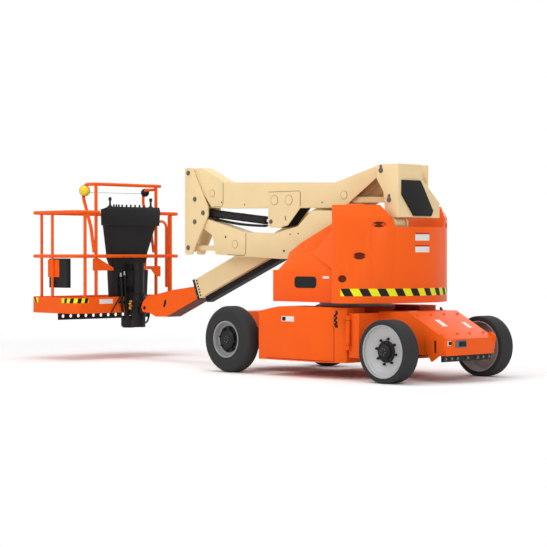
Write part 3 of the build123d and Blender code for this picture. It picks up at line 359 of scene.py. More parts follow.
@dataclass
class Shell:
    """A mesh gathered from arrays, in millimetres from the swing axis.

    Attributes:
        points: Blocks of vertices.
        quads: Blocks of faces with four corners.
        caps: Faces with any number of corners.
        count: Vertices gathered so far.
    """

    points: List[np.ndarray] = field(default_factory=list)
    quads: List[np.ndarray] = field(default_factory=list)
    caps: List[List[int]] = field(default_factory=list)
    count: int = 0

    def add(self, points: np.ndarray, quads: np.ndarray, caps: Sequence[Sequence[int]] = ()) -> "Shell":
        """Adds a block of vertices and its faces.

        Args:
            points: Vertices, one per row.
            quads: Faces of four corners, as indices in this block.
            caps: Other faces, as indices in this block.

        Returns:
            This shell.
        """
        self.points.append(np.asarray(points, float))
        self.quads.append(np.asarray(quads, int).reshape(-1, 4) + self.count)
        self.caps.extend([int(i) + self.count for i in cap] for cap in caps)
        self.count += len(points)
        return self

    def box(self, one: Point, other: Point) -> "Shell":
        """Adds a box between two opposite corners.

        Args:
            one: Any corner.
            other: The corner opposite to it.

        Returns:
            This shell.
        """
        low, high = np.minimum(one, other), np.maximum(one, other)
        grid = np.array(np.meshgrid([0, 1], [0, 1], [0, 1], indexing="ij")).reshape(3, -1).T
        faces = [[0, 1, 3, 2], [4, 6, 7, 5], [0, 4, 5, 1], [2, 3, 7, 6], [0, 2, 6, 4], [1, 5, 7, 3]]
        return self.add(low + grid * (high - low), np.array(faces))

    def rings(self, rings: np.ndarray) -> "Shell":
        """Adds a closed skin through rings of points, with a cap on the first and the last ring.

        Args:
            rings: Points, shaped rings by corners by three.

        Returns:
            This shell.
        """
        count, sides = rings.shape[:2]
        rows = np.arange(count - 1)[:, None] * sides
        here = np.arange(sides)[None]
        there = (here + 1) % sides
        quads = np.stack([rows + here, rows + there, rows + sides + there, rows + sides + here], -1)
        last = (count - 1) * sides
        caps = [list(range(sides))[::-1], list(range(last, last + sides))]
        return self.add(rings.reshape(-1, 3), quads, caps)

    def turned(self, profile: Sequence[Flat], origin: Point, axis: Point, sides: int = 32) -> "Shell":
        """Adds a turned body: each profile point, carried round the axis at its radius.

        Args:
            profile: Points of distance along the axis and radius.
            origin: Where the axis starts.
            axis: Direction of the axis.
            sides: Corners round the axis.

        Returns:
            This shell.
        """
        reach, radius = np.asarray(profile, float).T[..., None, None]
        frame = basis(axis)
        ring = circle(sides, 1.0) @ frame[:2]
        return self.rings(np.asarray(origin, float) + reach * frame[2] + radius * ring)

    def tube(self, path: Sequence[Point], radius: float, sides: int = 12) -> "Shell":
        """Adds a round tube: at each point of a path, a circle square to the path.

        Args:
            path: Points along the middle line.
            radius: Radius of the tube.
            sides: Corners round the tube.

        Returns:
            This shell.
        """
        line = np.asarray(path, float)
        way = np.gradient(line, axis=0)
        way /= np.linalg.norm(way, axis=1)[:, None]
        start = basis(way[0])[0]
        first = start[None] - (way @ start)[:, None] * way
        first /= np.linalg.norm(first, axis=1)[:, None]
        cross = np.stack([first, np.cross(way, first)], 1)
        return self.rings(line[:, None] + circle(sides, radius) @ cross)

    def prism(
        self, outline: Sequence[Flat], origin: Point, across: Point, up: Point, depth: float
    ) -> "Shell":
        """Adds an outline pushed along its normal.

        Args:
            outline: Corners as distances along the two directions.
            origin: Where the outline's zero lies.
            across: First direction.
            up: Second direction.
            depth: Signed depth along the cross product of across and up.

        Returns:
            This shell.
        """
        flat = np.asarray(outline, float)
        frame = np.array([across, up], float)
        face = np.asarray(origin, float) + flat @ frame
        return self.rings(np.stack([face, face + depth * np.cross(*frame)]))

    def plate(self, outline: Sequence[Flat], face: float, depth: float) -> "Shell":
        """Adds a plate drawn in side view.

        Args:
            outline: Corners as x and z.
            face: Where the drawn face lies across the machine.
            depth: Thickness towards the machine's right, or to its left below 0.

        Returns:
            This shell.
        """
        return self.prism(outline, (0.0, face, 0.0), AHEAD, UP, depth)

    def sheet(self, grid: np.ndarray, facing: Optional[Sequence[float]] = None) -> "Shell":
        """Adds a surface through a grid of points.

        Args:
            grid: Points, shaped rows by columns by three.
            facing: The way that the middle of an open surface looks.

        Returns:
            This shell.
        """
        rows, columns = grid.shape[:2]
        if facing is not None:
            corner = grid[rows // 2 - 1, columns // 2 - 1]
            across = grid[rows // 2 - 1, columns // 2] - corner
            down = grid[rows // 2, columns // 2 - 1] - corner
            if np.cross(across, down) @ np.asarray(facing, float) < 0.0:
                grid = grid[::-1]
        index = np.arange(rows * columns).reshape(rows, columns)
        quads = np.stack([index[:-1, :-1], index[:-1, 1:], index[1:, 1:], index[1:, :-1]], -1)
        return self.add(grid.reshape(-1, 3), quads.reshape(-1, 4))

    def hoop(self, centre: Point, radius: float, half_width: float, half_height: float) -> "Shell":
        """Adds a ring round an axle: an oval carried round a circle.

        Args:
            centre: Middle of the ring.
            radius: Radius of the circle.
            half_width: Half of the oval's size along the radius.
            half_height: Half of its size along the axle.

        Returns:
            This shell.
        """
        turn = np.linspace(0.0, TURN, 97)[:, None]
        loop = np.linspace(0.0, TURN, 9)[None, :]
        reach = radius + half_width * np.cos(loop)
        rise = half_height * np.sin(loop) + 0.0 * turn
        ring = np.stack([reach * np.cos(turn), rise, reach * np.sin(turn)], -1)
        return self.sheet(np.asarray(centre, float) + ring)

    def mesh(self, name: str) -> bpy.types.Mesh:
        """Makes the Blender mesh, in metres in the row frame.

        Args:
            name: Name of the mesh.

        Returns:
            The mesh, with joined seams, and with normals outwards where it is closed.
        """
        made = bpy.data.meshes.new(name)
        faces = np.vstack(self.quads).tolist() + self.caps
        points = np.vstack(self.points) * MILLIMETRE + np.array([SWING_X, 0.0, 0.0])
        made.from_pydata(points.tolist(), [], faces)
        work = bmesh.new()
        work.from_mesh(made)
        bmesh.ops.remove_doubles(work, verts=work.verts, dist=1e-6)
        if not any(edge.is_boundary for edge in work.edges):
            bmesh.ops.recalc_face_normals(work, faces=work.faces)
        work.to_mesh(made)
        work.free()
        made.validate()
        return made


def shade(piece: bpy.types.Object, angle: float) -> None:
    """Shades a piece smooth up to an angle.

    Args:
        piece: The piece.
        angle: Angle in degrees.
    """
    made = piece.data
    made.polygons.foreach_set("use_smooth", np.ones(len(made.polygons), bool))
    made.set_sharp_from_angle(angle=math.radians(angle))


def bevel_edges(piece: bpy.types.Object, width: float, segments: int) -> bpy.types.BevelModifier:
    """Rounds a piece's sharp edges with a modifier.

    Args:
        piece: The piece.
        width: Width of the rounding, in millimetres.
        segments: Steps in the rounding.

    Returns:
        The new modifier.
    """
    rounding = piece.modifiers.new("rounding", "BEVEL")
    rounding.width = width * MILLIMETRE
    rounding.segments = segments
    rounding.limit_method = "ANGLE"
    return rounding


@dataclass
class Workshop:
    """Turns shells into pieces that ride on CAD bodies.

    Attributes:
        materials: Where the finishes come from.
        segments: Steps in a rounded edge.
    """

    materials: MaterialLibrary
    segments: int = 2

    def piece(
        self, name: str, shell: Shell, finish: Finish, body: str, bevel: float = 0.0, smooth: float = 35.0
    ) -> bpy.types.Object:
        """Makes one piece.

        Args:
            name: Name of the piece.
            shell: Its surface.
            finish: Its finish.
            body: CAD body that it rides on.
            bevel: Width of the rounded edges in millimetres, or 0.
            smooth: Angle up to which faces shade as one, in degrees.

        Returns:
            The new object.
        """
        made = bpy.data.objects.new(name, shell.mesh(name))
        bpy.context.scene.collection.objects.link(made)
        made.data.materials.append(self.materials.get(finish))
        shade(made, smooth)
        if bevel:
            bevel_edges(made, bevel, self.segments)
        LOG.info("made %s on %s in %s", name, body, finish.value)
        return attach(made, body)


NODE_FINISH: Dict[str, Finish] = {
    "slew_ring": Finish.STEEL,
    "counterweight": Finish.CASTING,
    "battery_pack": Finish.PLASTIC,
    "tail_hood": Finish.MOULDED,
    "side_cover": Finish.MOULDED,
    "steer_axle": Finish.BLACK,
    "nose_guard": Finish.BLACK,
    "drive_motor": Finish.BLACK,
    "steer_knuckle": Finish.BLACK,
    "tie_rod": Finish.BLACK,
    "turntable_frame": Finish.CREAM,
    "lower_boom": Finish.CREAM,
    "lower_link": Finish.CREAM,
    "front_upright": Finish.CREAM,
    "mid_boom": Finish.CREAM,
    "mid_link": Finish.CREAM,
    "rear_upright": Finish.CREAM,
    "rear_cover": Finish.PLASTIC,
    "tower_cylinder_barrel": Finish.BLACK,
    "tower_cylinder_rod": Finish.CHROME,
    "lift_cylinder_barrel": Finish.BLACK,
    "lift_cylinder_rod": Finish.CHROME,
    "main_boom": Finish.CREAM,
    "boom_wear_ring": Finish.PLASTIC,
    "power_track": Finish.PLASTIC,
    "platform_support": Finish.BLACK,
    "platform_mount": Finish.BLACK,
    "step_bar": Finish.BLACK,
    "console": Finish.PLASTIC,
    "document_box": Finish.PLASTIC,
    "drive_tyre": Finish.RUBBER,
    "steer_tyre": Finish.RUBBER,
    "drive_rim": Finish.GREY,
    "steer_rim": Finish.SILVER,
    "drive_hub": Finish.BLACK,
    "steer_hub": Finish.BLACK,
}

# Width of a node's rounded edges, in millimetres.
SOFT_EDGES: Dict[str, float] = {
    "tail_hood": 12.0,
    "side_cover": 8.0,
    "chassis_frame": 4.0,
    "battery_tray": 5.0,
    "lower_boom": 4.0,
    "mid_boom": 4.0,
    "main_boom": 6.0,
    "front_upright": 2.0,
    "rear_upright": 2.0,
    "rear_cover": 6.0,
    "platform_floor": 2.0,
    "console": 8.0,
    "document_box": 5.0,
    "nose_tie_down": 3.0,
    "drive_tie_down": 3.0,
    "steer_rim": 2.0,
    "drive_rim": 2.0,
    "steer_tyre": 5.0,
    "drive_tyre": 12.0,
}


@dataclass
class FramePainter:
    """Gives every CAD node its finish and rounded edges.

    Attributes:
        materials: Where the finishes come from.
        smooth: Angle up to which faces shade as one, in degrees.
        weld: Distance at which a node's corners join, in millimetres.
        segments: Steps in a rounded edge.
        sharp: Angle from which an edge is rounded, in degrees.
    """

    materials: MaterialLibrary
    smooth: float = 32.0
    weld: float = 0.02
    segments: int = 3
    sharp: float = 28.0

    def paint(self, nodes: Dict[str, bpy.types.Object]) -> None:
        """Paints all nodes.

        Args:
            nodes: CAD nodes by name.
        """
        for name, node in nodes.items():
            stem = name.removesuffix("_left").removesuffix("_right")
            finish = NODE_FINISH.get(stem, Finish.ORANGE)
            node.data.materials.clear()
            node.data.materials.append(self.materials.get(finish))
            shade(node, self.smooth)
            if stem in SOFT_EDGES:
                self._soften(node, SOFT_EDGES[stem])
            LOG.info("painted %s in %s", name, finish.value)

    def _soften(self, node: bpy.types.Object, width: float) -> None:
        """Rounds a CAD node's edges without changing its mesh.

        Args:
            node: The node.
            width: Width of the rounding, in millimetres.
        """
        weld = node.modifiers.new("weld", "WELD")
        weld.merge_threshold = self.weld * MILLIMETRE
        bevel_edges(node, width, self.segments).angle_limit = math.radians(self.sharp)


@dataclass(frozen=True)
class Spot:
    """A round place on a plate's face.

    Attributes:
        body: CAD body that it rides on.
        x: Distance ahead of the swing axis.
        z: Height.
        face: Where the face lies across the machine.
        radius: Radius of what sits there.
        way: 1 where the face looks left, -1 where it looks right.
    """

    body: str
    x: float
    z: float
    face: float
    radius: float
    way: int = 1

    @property
    def place(self) -> Point:
        """Gives the spot's middle on the face."""
        return (self.x, self.face, self.z)


def by_body(spots: Sequence[Spot]) -> Dict[str, List[Spot]]:
    """Groups spots by the body that they ride on.

    Args:
        spots: The spots.

    Returns:
        The spots of each body, in the order given.
    """
    groups: Dict[str, List[Spot]] = {}
    for spot in spots:
        groups.setdefault(spot.body, []).append(spot)
    return groups


@dataclass
class TowerDetails:
    """Pin heads, bosses, drains, lines of painted shade at the plate edges, cylinder bracket and hoses of
    the folding tower.

    Attributes:
        shop: Makes the pieces.
        near: Left face of the uprights' left plates.
        far: Right face of the front upright's plates.
        main: Right face of the rear upright's plates.
        flank: Left flank of the lower and mid booms.
        bracket: Left face of the bracket under the mid boom.
        bracket_far: Right face of its right plate.
        pin: Radius of a pin's washer.
        bracket_pin: Radius of the washer on the bracket.
        upright_pins: Pins of the front upright, in side view.
        frame_pins: Pins of the turntable's frame.
        rear_pins: Pins of the rear upright.
        boom_pins: Pins of the main boom and its cylinder.
        bracket_eye: Pin of the tower cylinder's rod.
        barrel_eye: Pin of the tower cylinder's barrel.
        cylinder: Where the tower cylinder lies across the machine.
        keeper: Thickness of a keeper bar.
        seam: Radius of a line of painted shade at a plate edge.
    """

    shop: Workshop
    near: float = 295.0
    far: float = 115.0
    main: float = -118.0
    flank: float = 272.0
    bracket: float = 279.5
    bracket_far: float = 130.5
    pin: float = 25.0
    bracket_pin: float = 22.0
    upright_pins: Sequence[Flat] = ((2050, 1956), (1950, 1688), (1826, 1547), (1951, 1459), (2051, 1197))
    frame_pins: Sequence[Flat] = ((-690, 1410), (-590, 1148))
    rear_pins: Sequence[Flat] = ((-582, 1892), (-682, 1624))
    boom_pins: Sequence[Flat] = ((-600, 1880), (-520, 1520))
    bracket_eye: Flat = (861.0, 1447.0)
    barrel_eye: Flat = (1826.0, 1547.0)
    cylinder: float = 205.0
    keeper: float = 4.0
    seam: float = 3.2

    def build(self) -> None:
        """Makes all pieces."""
        self._pins()
        self._bosses()
        self._drains()
        self._seams()
        self._bracket()
        self._hoses()

    def _heads(self) -> List[Spot]:
        """Lists the pin heads.

        Returns:
            One spot for each head.
        """
        rows = (
            ("front_upright", self.near, 1, self.upright_pins),
            ("front_upright", self.far, -1, self.upright_pins),
            ("turntable", self.near, 1, self.frame_pins),
            ("rear_upright", self.near, 1, self.rear_pins),
            ("rear_upright", self.main, -1, self.boom_pins),
        )
        heads = [Spot(body, x, z, face, self.pin, way) for body, face, way, pins in rows for x, z in pins]
        heads.append(Spot("mid_boom", *self.bracket_eye, self.bracket, self.bracket_pin))
        heads.append(Spot("mid_boom", *self.bracket_eye, self.bracket_far, self.bracket_pin, -1))
        return heads

    def _pins(self) -> None:
        """Makes a washer and a bolt at each pin, and a keeper bar at the rear upright's pins."""
        groups = by_body(self._heads())
        for body, heads in groups.items():
            washers = Shell()
            for head in heads:
                r = head.radius
                profile = [(0, r), (5, r), (7, r - 2), (7, 0.6 * r), (11, 0.56 * r), (11, TIP)]
                washers.turned(profile, head.place, (0, head.way, 0), 28)
            self.shop.piece(f"{body}_pin_heads", washers, Finish.PIN, body)
        keepers = Shell()
        for head in groups["rear_upright"]:
            outer = head.face + self.keeper * head.way
            top = head.z + head.radius
            keepers.box((head.x - 12, head.face, head.z + 0.6 * head.radius), (head.x + 12, outer, top + 24))
            keepers.turned(stud(9, 7), (head.x, outer, top + 12), (0, head.way, 0), 6)
        self.shop.piece("rear_upright_pin_keepers", keepers, Finish.STEEL, "rear_upright", bevel=1.0)

    def _bosses(self) -> None:
        """Makes the raised discs of the boom flanks, each in a ring of painted shade: a circle as a thin
        closed tube.
        """
        spots = (
            Spot("mid_boom", 1713, 1742, self.flank, 34),
            Spot("mid_boom", -101, 1680, self.flank, 38),
            Spot("mid_boom", 814, 1654, self.bracket, 46),
            Spot("mid_boom", 617, 1650, self.bracket, 46),
            Spot("lower_boom", 1380, 1228, self.flank, 36),
        )
        turn = np.linspace(0.0, TURN, 41)
        ring = np.column_stack([np.cos(turn), np.zeros_like(turn), np.sin(turn)])
        for body, group in by_body(spots).items():
            discs, rings = Shell(), Shell()
            for spot in group:
                r = spot.radius
                discs.turned([(0, r), (2, r), (3.5, r - 2), (3.5, TIP)], spot.place, LEFT, 40)
                # Painted shade: the darker ring round each disc stands for the shadow at its edge.
                rings.tube(np.array(spot.place) + np.array([0.0, 0.6, 0.0]) + (r + 1.0) * ring, 2.6, 6)
            self.shop.piece(f"{body}_bosses", discs, Finish.CREAM, body)
            self.shop.piece(f"{body}_boss_rings", rings, Finish.SEAM, body)

    def _drains(self) -> None:
        """Makes the small holes of the boom flanks as thin black discs: painted shade for the holes' dark
        insides.
        """
        holes = {
            "mid_boom": ((1574, 1648, 9), (1240, 1618, 8), (180, 1618, 8)),
            "lower_boom": ((1516, 1302, 11), (690, 1162, 12), (607, 1322, 8), (498, 1328, 8)),
        }
        for body, places in holes.items():
            shell = Shell()
            for x, z, radius in places:
                shell.turned(stud(radius, 1.0), (x, self.flank, z), LEFT, 20)
            self.shop.piece(f"{body}_drains", shell, Finish.INK, body)

    def _seams(self) -> None:
        """Makes dark lines of painted shade along the edges where the boom ends and the bracket meet their
        tubes.
        """
        mid_end = ((1552, 1842), (1552, 1648), (1557, 1628), (1571, 1612), (1592, 1605), (1700, 1606))
        bracket_top = ((905, 1733), (486, 1733), (473, 1727), (467, 1714), (467, 1592))
        lower_end = ((1222, 1338), (1226, 1150), (1232, 1132), (1246, 1120), (1266, 1117), (1480, 1126))
        for body, lines in (("mid_boom", (mid_end, bracket_top)), ("lower_boom", (lower_end,))):
            shell = Shell()
            for line in lines:
                shell.tube(np.insert(np.array(line, float), 1, self.flank + 0.3, axis=1), self.seam, 8)
            self.shop.piece(f"{body}_seams", shell, Finish.SEAM, body)

    def _bracket(self) -> None:
        """Makes the plates of the cylinder bracket, a black sheet of painted shade inside its far plate, and
        a black mark of painted shade for its slot.
        """
        inside = [(474, 1567), (635, 1411), (761, 1388), (880, 1393), (899, 1431), (899, 1588), (474, 1588)]
        # Painted shade: a black sheet on the far plate's inner face stands for the shadow inside the
        # bracket.
        shade_sheet = Shell().plate(inside, 146.6, -1.4)
        self.shop.piece("bracket_liner", shade_sheet, Finish.PLASTIC, "mid_boom")
        outline = [(902, 1730), (486, 1730), (475, 1725), (470, 1714), (470, 1565)]
        outline += [(633, 1407), (761, 1384), (882, 1389), (902, 1430)]
        thick = 7.0
        plates = Shell()
        for face in (self.bracket, self.bracket_far + thick):
            plates.plate(outline, face, thick)
        self.shop.piece("bracket_plates", plates, Finish.CREAM, "mid_boom", bevel=1.5)
        # Painted shade: the slot is a flat black mark, not an opening.
        slot = Shell().plate(rectangle((657, 1455), (667, 1499)), self.bracket, -1.2)
        self.shop.piece("bracket_slot", slot, Finish.INK, "mid_boom")

    def _hoses(self) -> None:
        """Makes three hoses that hang below the cylinder's barrel by half a sine, and their clips."""
        foot = np.array([self.barrel_eye[0], self.cylinder, self.barrel_eye[1]])
        head = np.array([self.bracket_eye[0], self.cylinder, self.bracket_eye[1]])
        way = (head - foot) / np.linalg.norm(head - foot)
        down = np.cross(LEFT, way)
        down = down if down[2] < 0 else -down
        reach = np.linspace(90.0, 830.0, 30)
        sag = 52.0 + 16.0 * np.sin(np.linspace(0.0, math.pi, 30))
        hoses = Shell()
        for y, extra in ((-22.0, 0.0), (0.0, 6.0), (22.0, 2.0)):
            line = foot + reach[:, None] * way + (sag + extra)[:, None] * down
            hoses.tube(line + np.array([0.0, y, 0.0]), 9.5, 10)
        self.shop.piece("tower_hoses", hoses, Finish.PLASTIC, "tower_barrel", smooth=60.0)
        clips = Shell()
        for share in (200.0, 500.0, 800.0):
            clips.turned([(-12, 41.8), (12, 41.8)], foot + share * way, way, 32)
        self.shop.piece("tower_barrel_clips", clips, Finish.BLACK, "tower_barrel")


@dataclass(frozen=True)
class BoomLine:
    """The main boom's middle line, which falls from its pivot at a steady slope.

    Attributes:
        pivot: The boom's pivot, as x and z.
        slope: Angle below level, in degrees.
    """

    pivot: Flat = (-600.0, 1880.0)
    slope: float = 22.0

    @property
    def along(self) -> np.ndarray:
        """Gives the direction along the boom."""
        return np.array([math.cos(math.radians(self.slope)), 0.0, -math.sin(math.radians(self.slope))])

    @property
    def up(self) -> np.ndarray:
        """Gives the direction square to the boom, in side view."""
        return np.array([math.sin(math.radians(self.slope)), 0.0, math.cos(math.radians(self.slope))])

    def at(self, reach: float, rise: float, y: float = 0.0) -> np.ndarray:
        """Finds a place: the pivot, plus the reach along the boom and the rise square to it.

        Args:
            reach: Distance along the boom.
            rise: Distance above the line.
            y: Distance to the left.

        Returns:
            The place.
        """
        return np.array([self.pivot[0], y, self.pivot[1]]) + reach * self.along + rise * self.up


@dataclass
class BoomDetails:
    """Screws, bolts and track links of the main boom, and the fly boom with its flatter nose.

    Attributes:
        shop: Makes the pieces.
        line: The boom's middle line.
        screw_levels: Heights of the wear ring's screws on the boom.
        pad_levels: Heights of the wear pads' bolts.
        link_pitch: Distance between the power track's links.
        fly: Lowest and highest corner of the fly boom's tube, along and across the boom.
        fly_half: Half of the tube's width.
        core_half: Half of the nose block's width.
        cheek: Left face of the nose's left plate.
        cheek_thick: Thickness of the nose's plates.
        nose_pin: The levelling pin, as x and z.
        slot: Middle of the slot in the nose, as x and z.
    """

    shop: Workshop
    line: BoomLine = BoomLine()
    screw_levels: Sequence[float] = (-70.0, 0.0, 70.0)
    pad_levels: Sequence[float] = (-80.0, -48.0, -16.0, 16.0, 48.0, 80.0)
    link_pitch: float = 45.0
    fly: Tuple[Flat, Flat] = ((560.0, -86.0), (2991.0, 86.0))
    fly_half: float = 80.0
    core_half: float = 78.0
    cheek: float = 95.0
    cheek_thick: float = 18.0
    nose_pin: Flat = (2985.0, 560.0)
    slot: Flat = (2648.0, 613.0)

    def build(self) -> None:
        """Makes all pieces."""
        rows = (
            ("wear_ring_screws", Finish.ZINC, 2972.0, 101.0, self.screw_levels, stud(8, 5)),
            ("wear_pad_bolts", Finish.BLACK, 2928.0, 94.8, self.pad_levels, stud(9, 6)),
        )
        for name, finish, reach, face, levels, profile in rows:
            shell = Shell()
            for level in levels:
                for hand in Side:
                    place = self.line.at(reach, level, face * hand.value)
                    shell.turned(profile, place, (0, hand.value, 0), 6)
            self.shop.piece(name, shell, finish, "main_boom")
        self._track()
        self._nose_slots()
        self._fly_boom()

    def _track(self) -> None:
        """Makes the links on both sides of the power track, one at each pitch along the boom."""
        links = Shell()
        outline = rectangle((-18, -22), (18, 22))
        for start in np.arange(1500.0, 2900.0, self.link_pitch):
            for hand in Side:
                middle = self.line.at(start, -131.0, 45.5 * hand.value)
                links.prism(outline, middle, self.line.along, self.line.up, -2.0 * hand.value)
        self.shop.piece("power_track_links", links, Finish.PLASTIC, "main_boom")

    def _nose_slots(self) -> None:
        """Makes the slot in each flank of the nose as a flat black mark of painted shade: two half circles
        joined by straight sides.
        """
        outline = rounded([(0, 26), (0, -26)], 16.0, 9)
        across, up = (0.94, 0.0, 0.34), (-0.34, 0.0, 0.94)
        shell = Shell()
        for hand in Side:
            place = (self.slot[0], hand.value * (self.cheek + 0.2), self.slot[1])
            shell.prism(outline, place, across, up, -1.2 * hand.value)
        self.shop.piece("nose_slots", shell, Finish.INK, "fly_boom")

    def _fly_boom(self) -> None:
        """Makes the fly boom: a tube, a nose block between two plates, the pin, and a sole in painted shade.
        """
        corners = np.array([self.line.at(reach, rise) for reach, rise in rectangle(*self.fly)])
        core = [(2188, 795), (2535, 754), (2903, 682), (2928, 600), (2893, 535)]
        core += [(2798, 471), (2620, 476), (2138, 672)]
        plate = [(2187, 797), (2535, 756), (2945, 676), (3012, 622), (3035, 560)]
        plate += [(3010, 515), (2895, 506), (2799, 469), (2620, 474), (2136, 671)]
        shell = Shell().plate(corners[:, [0, 2]], self.fly_half, 2.0 * self.fly_half)
        shell.plate(core, self.core_half, 2.0 * self.core_half)
        for face in (self.cheek, self.cheek_thick - self.cheek):
            shell.plate(plate, face, self.cheek_thick)
        pin = (self.nose_pin[0], -self.cheek, self.nose_pin[1])
        shell.turned([(0, 22), (2.0 * self.cheek, 22)], pin, LEFT, 28)
        made = self.shop.piece("fly_boom_shell", shell, Finish.ORANGE, "fly_boom", bevel=2.0)
        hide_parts("fly_boom")
        # Painted shade: the sole closes the nose's underside in shaded orange, standing for its shadow.
        outline = [(2140, 669.3), (2618, 474.8), (2616.7, 471.6), (2138.7, 666.1)]
        sole = Shell().plate(outline, self.cheek - 1.0, 2.0 * (self.cheek - 1.0))
        self.shop.piece("nose_sole", sole, Finish.SHADED, "fly_boom")


@dataclass(frozen=True)
class WheelPlan:
    """Sizes of one kind of wheel.

    Attributes:
        kind: Word for the kind in the names of its pieces.
        x: The axle's place along the machine.
        z: The axle's height.
        disc: Distance of the rim's disc from the middle of the machine.
        nuts: Radius of the nut circle.
        cap: Distance of the hub's outer face from the middle.
        ribs: Radii of the sidewall ribs.
    """

    kind: str
    x: float
    z: float
    disc: float
    nuts: float
    cap: float
    ribs: Sequence[float]

    def body(self, hand: Side) -> str:
        """Names the wheel's body on one side."""
        return f"{self.kind}_wheel_{hand.label}"

    def place(self, y: float, offset: Sequence[float] = (0.0, 0.0)) -> Point:
        """Finds a place across the machine, with an offset from the axle in side view."""
        return (self.x + offset[0], y, self.z + offset[1])


@dataclass
class WheelDetails:
    """Nuts, hub screws, sidewall ribs, steer flanges, rim steps and drive webs of the four wheels.

    Attributes:
        shop: Makes the pieces.
        steer: The steered wheels.
        drive: The driven wheels.
        nut_turn: Angle of the first nut.
        screw_turn: Angle of the first hub screw.
        screws: Radius of the hub's screw circle.
        wall: Distance of the tyres' sidewalls from the middle.
        flange_bolts: Radius of the steer flange's bolt circle.
    """

    shop: Workshop
    steer: WheelPlan = WheelPlan("steer", -1005.0, 279.5, 688.0, 113.0, 732.0, (241.0, 262.0))
    drive: WheelPlan = WheelPlan("drive", 1005.0, 317.5, 703.0, 112.0, 734.0, (188.0, 232.0, 262.0))
    nut_turn: float = 0.2
    screw_turn: float = 0.8 / 3.0
    screws: float = 27.0
    wall: float = 750.0
    flange_bolts: float = 82.0

    def build(self) -> None:
        """Makes the pieces of every wheel."""
        for hand in Side:
            self._fasteners(self.steer, hand)
            self._fasteners(self.drive, hand)
            self._discs(hand)

    def _fasteners(self, plan: WheelPlan, hand: Side) -> None:
        """Makes one wheel's nuts on their studs, its hub screws and its ribs.

        Args:
            plan: Sizes of the wheel.
            hand: The machine's side.
        """
        way, body, axis = hand.value, plan.body(hand), (0, hand.value, 0)
        nut = [(0, 14), (2, 14), (2, 12), (14, 12), (16, 10), (16, TIP)]
        nuts = Shell()
        for offset in circle(8, plan.nuts, self.nut_turn):
            place = plan.place(way * plan.disc, offset)
            nuts.turned(nut, place, axis, 6)
            nuts.turned(stud(7, 24, 16), place, axis, 10)
        self.shop.piece(f"{body}_nuts", nuts, Finish.BLACK, body)
        screws = Shell()
        for offset in circle(6, self.screws, self.screw_turn):
            screws.turned(stud(5, 4, -6), plan.place(way * (plan.cap + 1.5), offset), axis, 6)
        self.shop.piece(f"{body}_hub_screws", screws, Finish.ZINC, body)
        ribs = Shell()
        for radius in plan.ribs:
            ribs.hoop(plan.place(way * self.wall), radius, 4.0, 2.5)
        self.shop.piece(f"{body}_ribs", ribs, Finish.RUBBER, body, smooth=60.0)

    def _discs(self, hand: Side) -> None:
        """Makes the steer hub's bolted flange, the step in the steer rim and the drive rim's dark web.

        Args:
            hand: The machine's side.
        """
        way, label, axis = hand.value, hand.label, (0, hand.value, 0)
        steer, drive = self.steer.body(hand), self.drive.body(hand)
        profile = [(0, 97), (10, 97), (13, 94), (13, 68), (26, 64), (26, 61.4)]
        flange = Shell().turned(profile, self.steer.place(way * (self.steer.disc + 0.2)), axis, 48)
        for offset in circle(10, self.flange_bolts):
            flange.turned(stud(8, 8), self.steer.place(way * 701.0, offset), axis, 6)
        self.shop.piece(f"steer_flange_{label}", flange, Finish.BLACK, steer)
        step = Shell().hoop(self.steer.place(way * 712.5), 200.0, 5.5, 3.5)
        self.shop.piece(f"steer_rim_step_{label}", step, Finish.SILVER, steer, smooth=40.0)
        web = Shell().turned([(0, 128), (3, 128), (3, 91), (0, 91)], self.drive.place(way * 700.2), axis, 48)
        self.shop.piece(f"drive_web_{label}", web, Finish.BLACK, drive)


@dataclass(frozen=True)
class Wall:
    """An upright wall that follows a line in plan.

    Attributes:
        path: Points along the wall, as x and y.
        out: Outward directions at those points.
    """

    path: np.ndarray
    out: np.ndarray

    @classmethod
    def arc(cls, start: float, end: float, radius: float, points: int = 60) -> "Wall":
        """Makes a round wall about the swing axis: the radius times each outward direction.

        Args:
            start: First angle, in degrees from the front.
            end: Last angle.
            radius: Radius of the wall.
            points: Number of points.

        Returns:
            The wall.
        """
        angle = np.radians(np.linspace(start, end, points))
        out = np.column_stack([np.cos(angle), np.sin(angle)])
        return cls(radius * out, out)

    def band(self, low: float, high: float, lift: float) -> Shell:
        """Makes a plain band: the wall's line, lifted outwards, at two heights.

        Args:
            low: Lower edge of the band.
            high: Upper edge.
            lift: Distance of the band from the wall.

        Returns:
            The shell of the band.
        """
        line = self.path + lift * self.out
        rows = [np.column_stack([line, np.full(len(line), z)]) for z in (low, high)]
        return Shell().sheet(np.array(rows), (*self.out[len(self.out) // 2], 0.0))

    def stripes(self, low: float, high: float, count: int, slant: float, lift: float) -> Shell:
        """Makes slanted stripes: each covers half a pitch of the wall's length and leans as it rises.

        Args:
            low: Lower edge of the stripes.
            high: Upper edge.
            count: Number of stripes.
            slant: How far a stripe leans along the wall from its foot to its head.
            lift: Distance of the stripes from the wall.

        Returns:
            The shell of the stripes.
        """
        shell = Shell()
        lengths = np.linalg.norm(np.diff(self.path, axis=0), axis=1)
        step = np.concatenate([[0.0], np.cumsum(lengths)])
        pitch = (step[-1] - abs(slant)) / count
        rows = np.linspace(0.0, 1.0, 5)[:, None]
        columns = np.linspace(0.0, 0.5 * pitch, 5)[None, :]
        for number in range(count):
            reach = number * pitch + columns + slant * rows + max(0.0, -slant)
            x, y = (
                np.interp(reach, step, self.path[:, k]) + lift * np.interp(reach, step, self.out[:, k])
                for k in (0, 1)
            )
            z = np.broadcast_to(low + (high - low) * rows, reach.shape)
            middle = int(len(self.path) * (number + 0.5) / count)
            shell.sheet(np.stack([x, y, z], -1), (*self.out[middle], 0.0))
        return shell


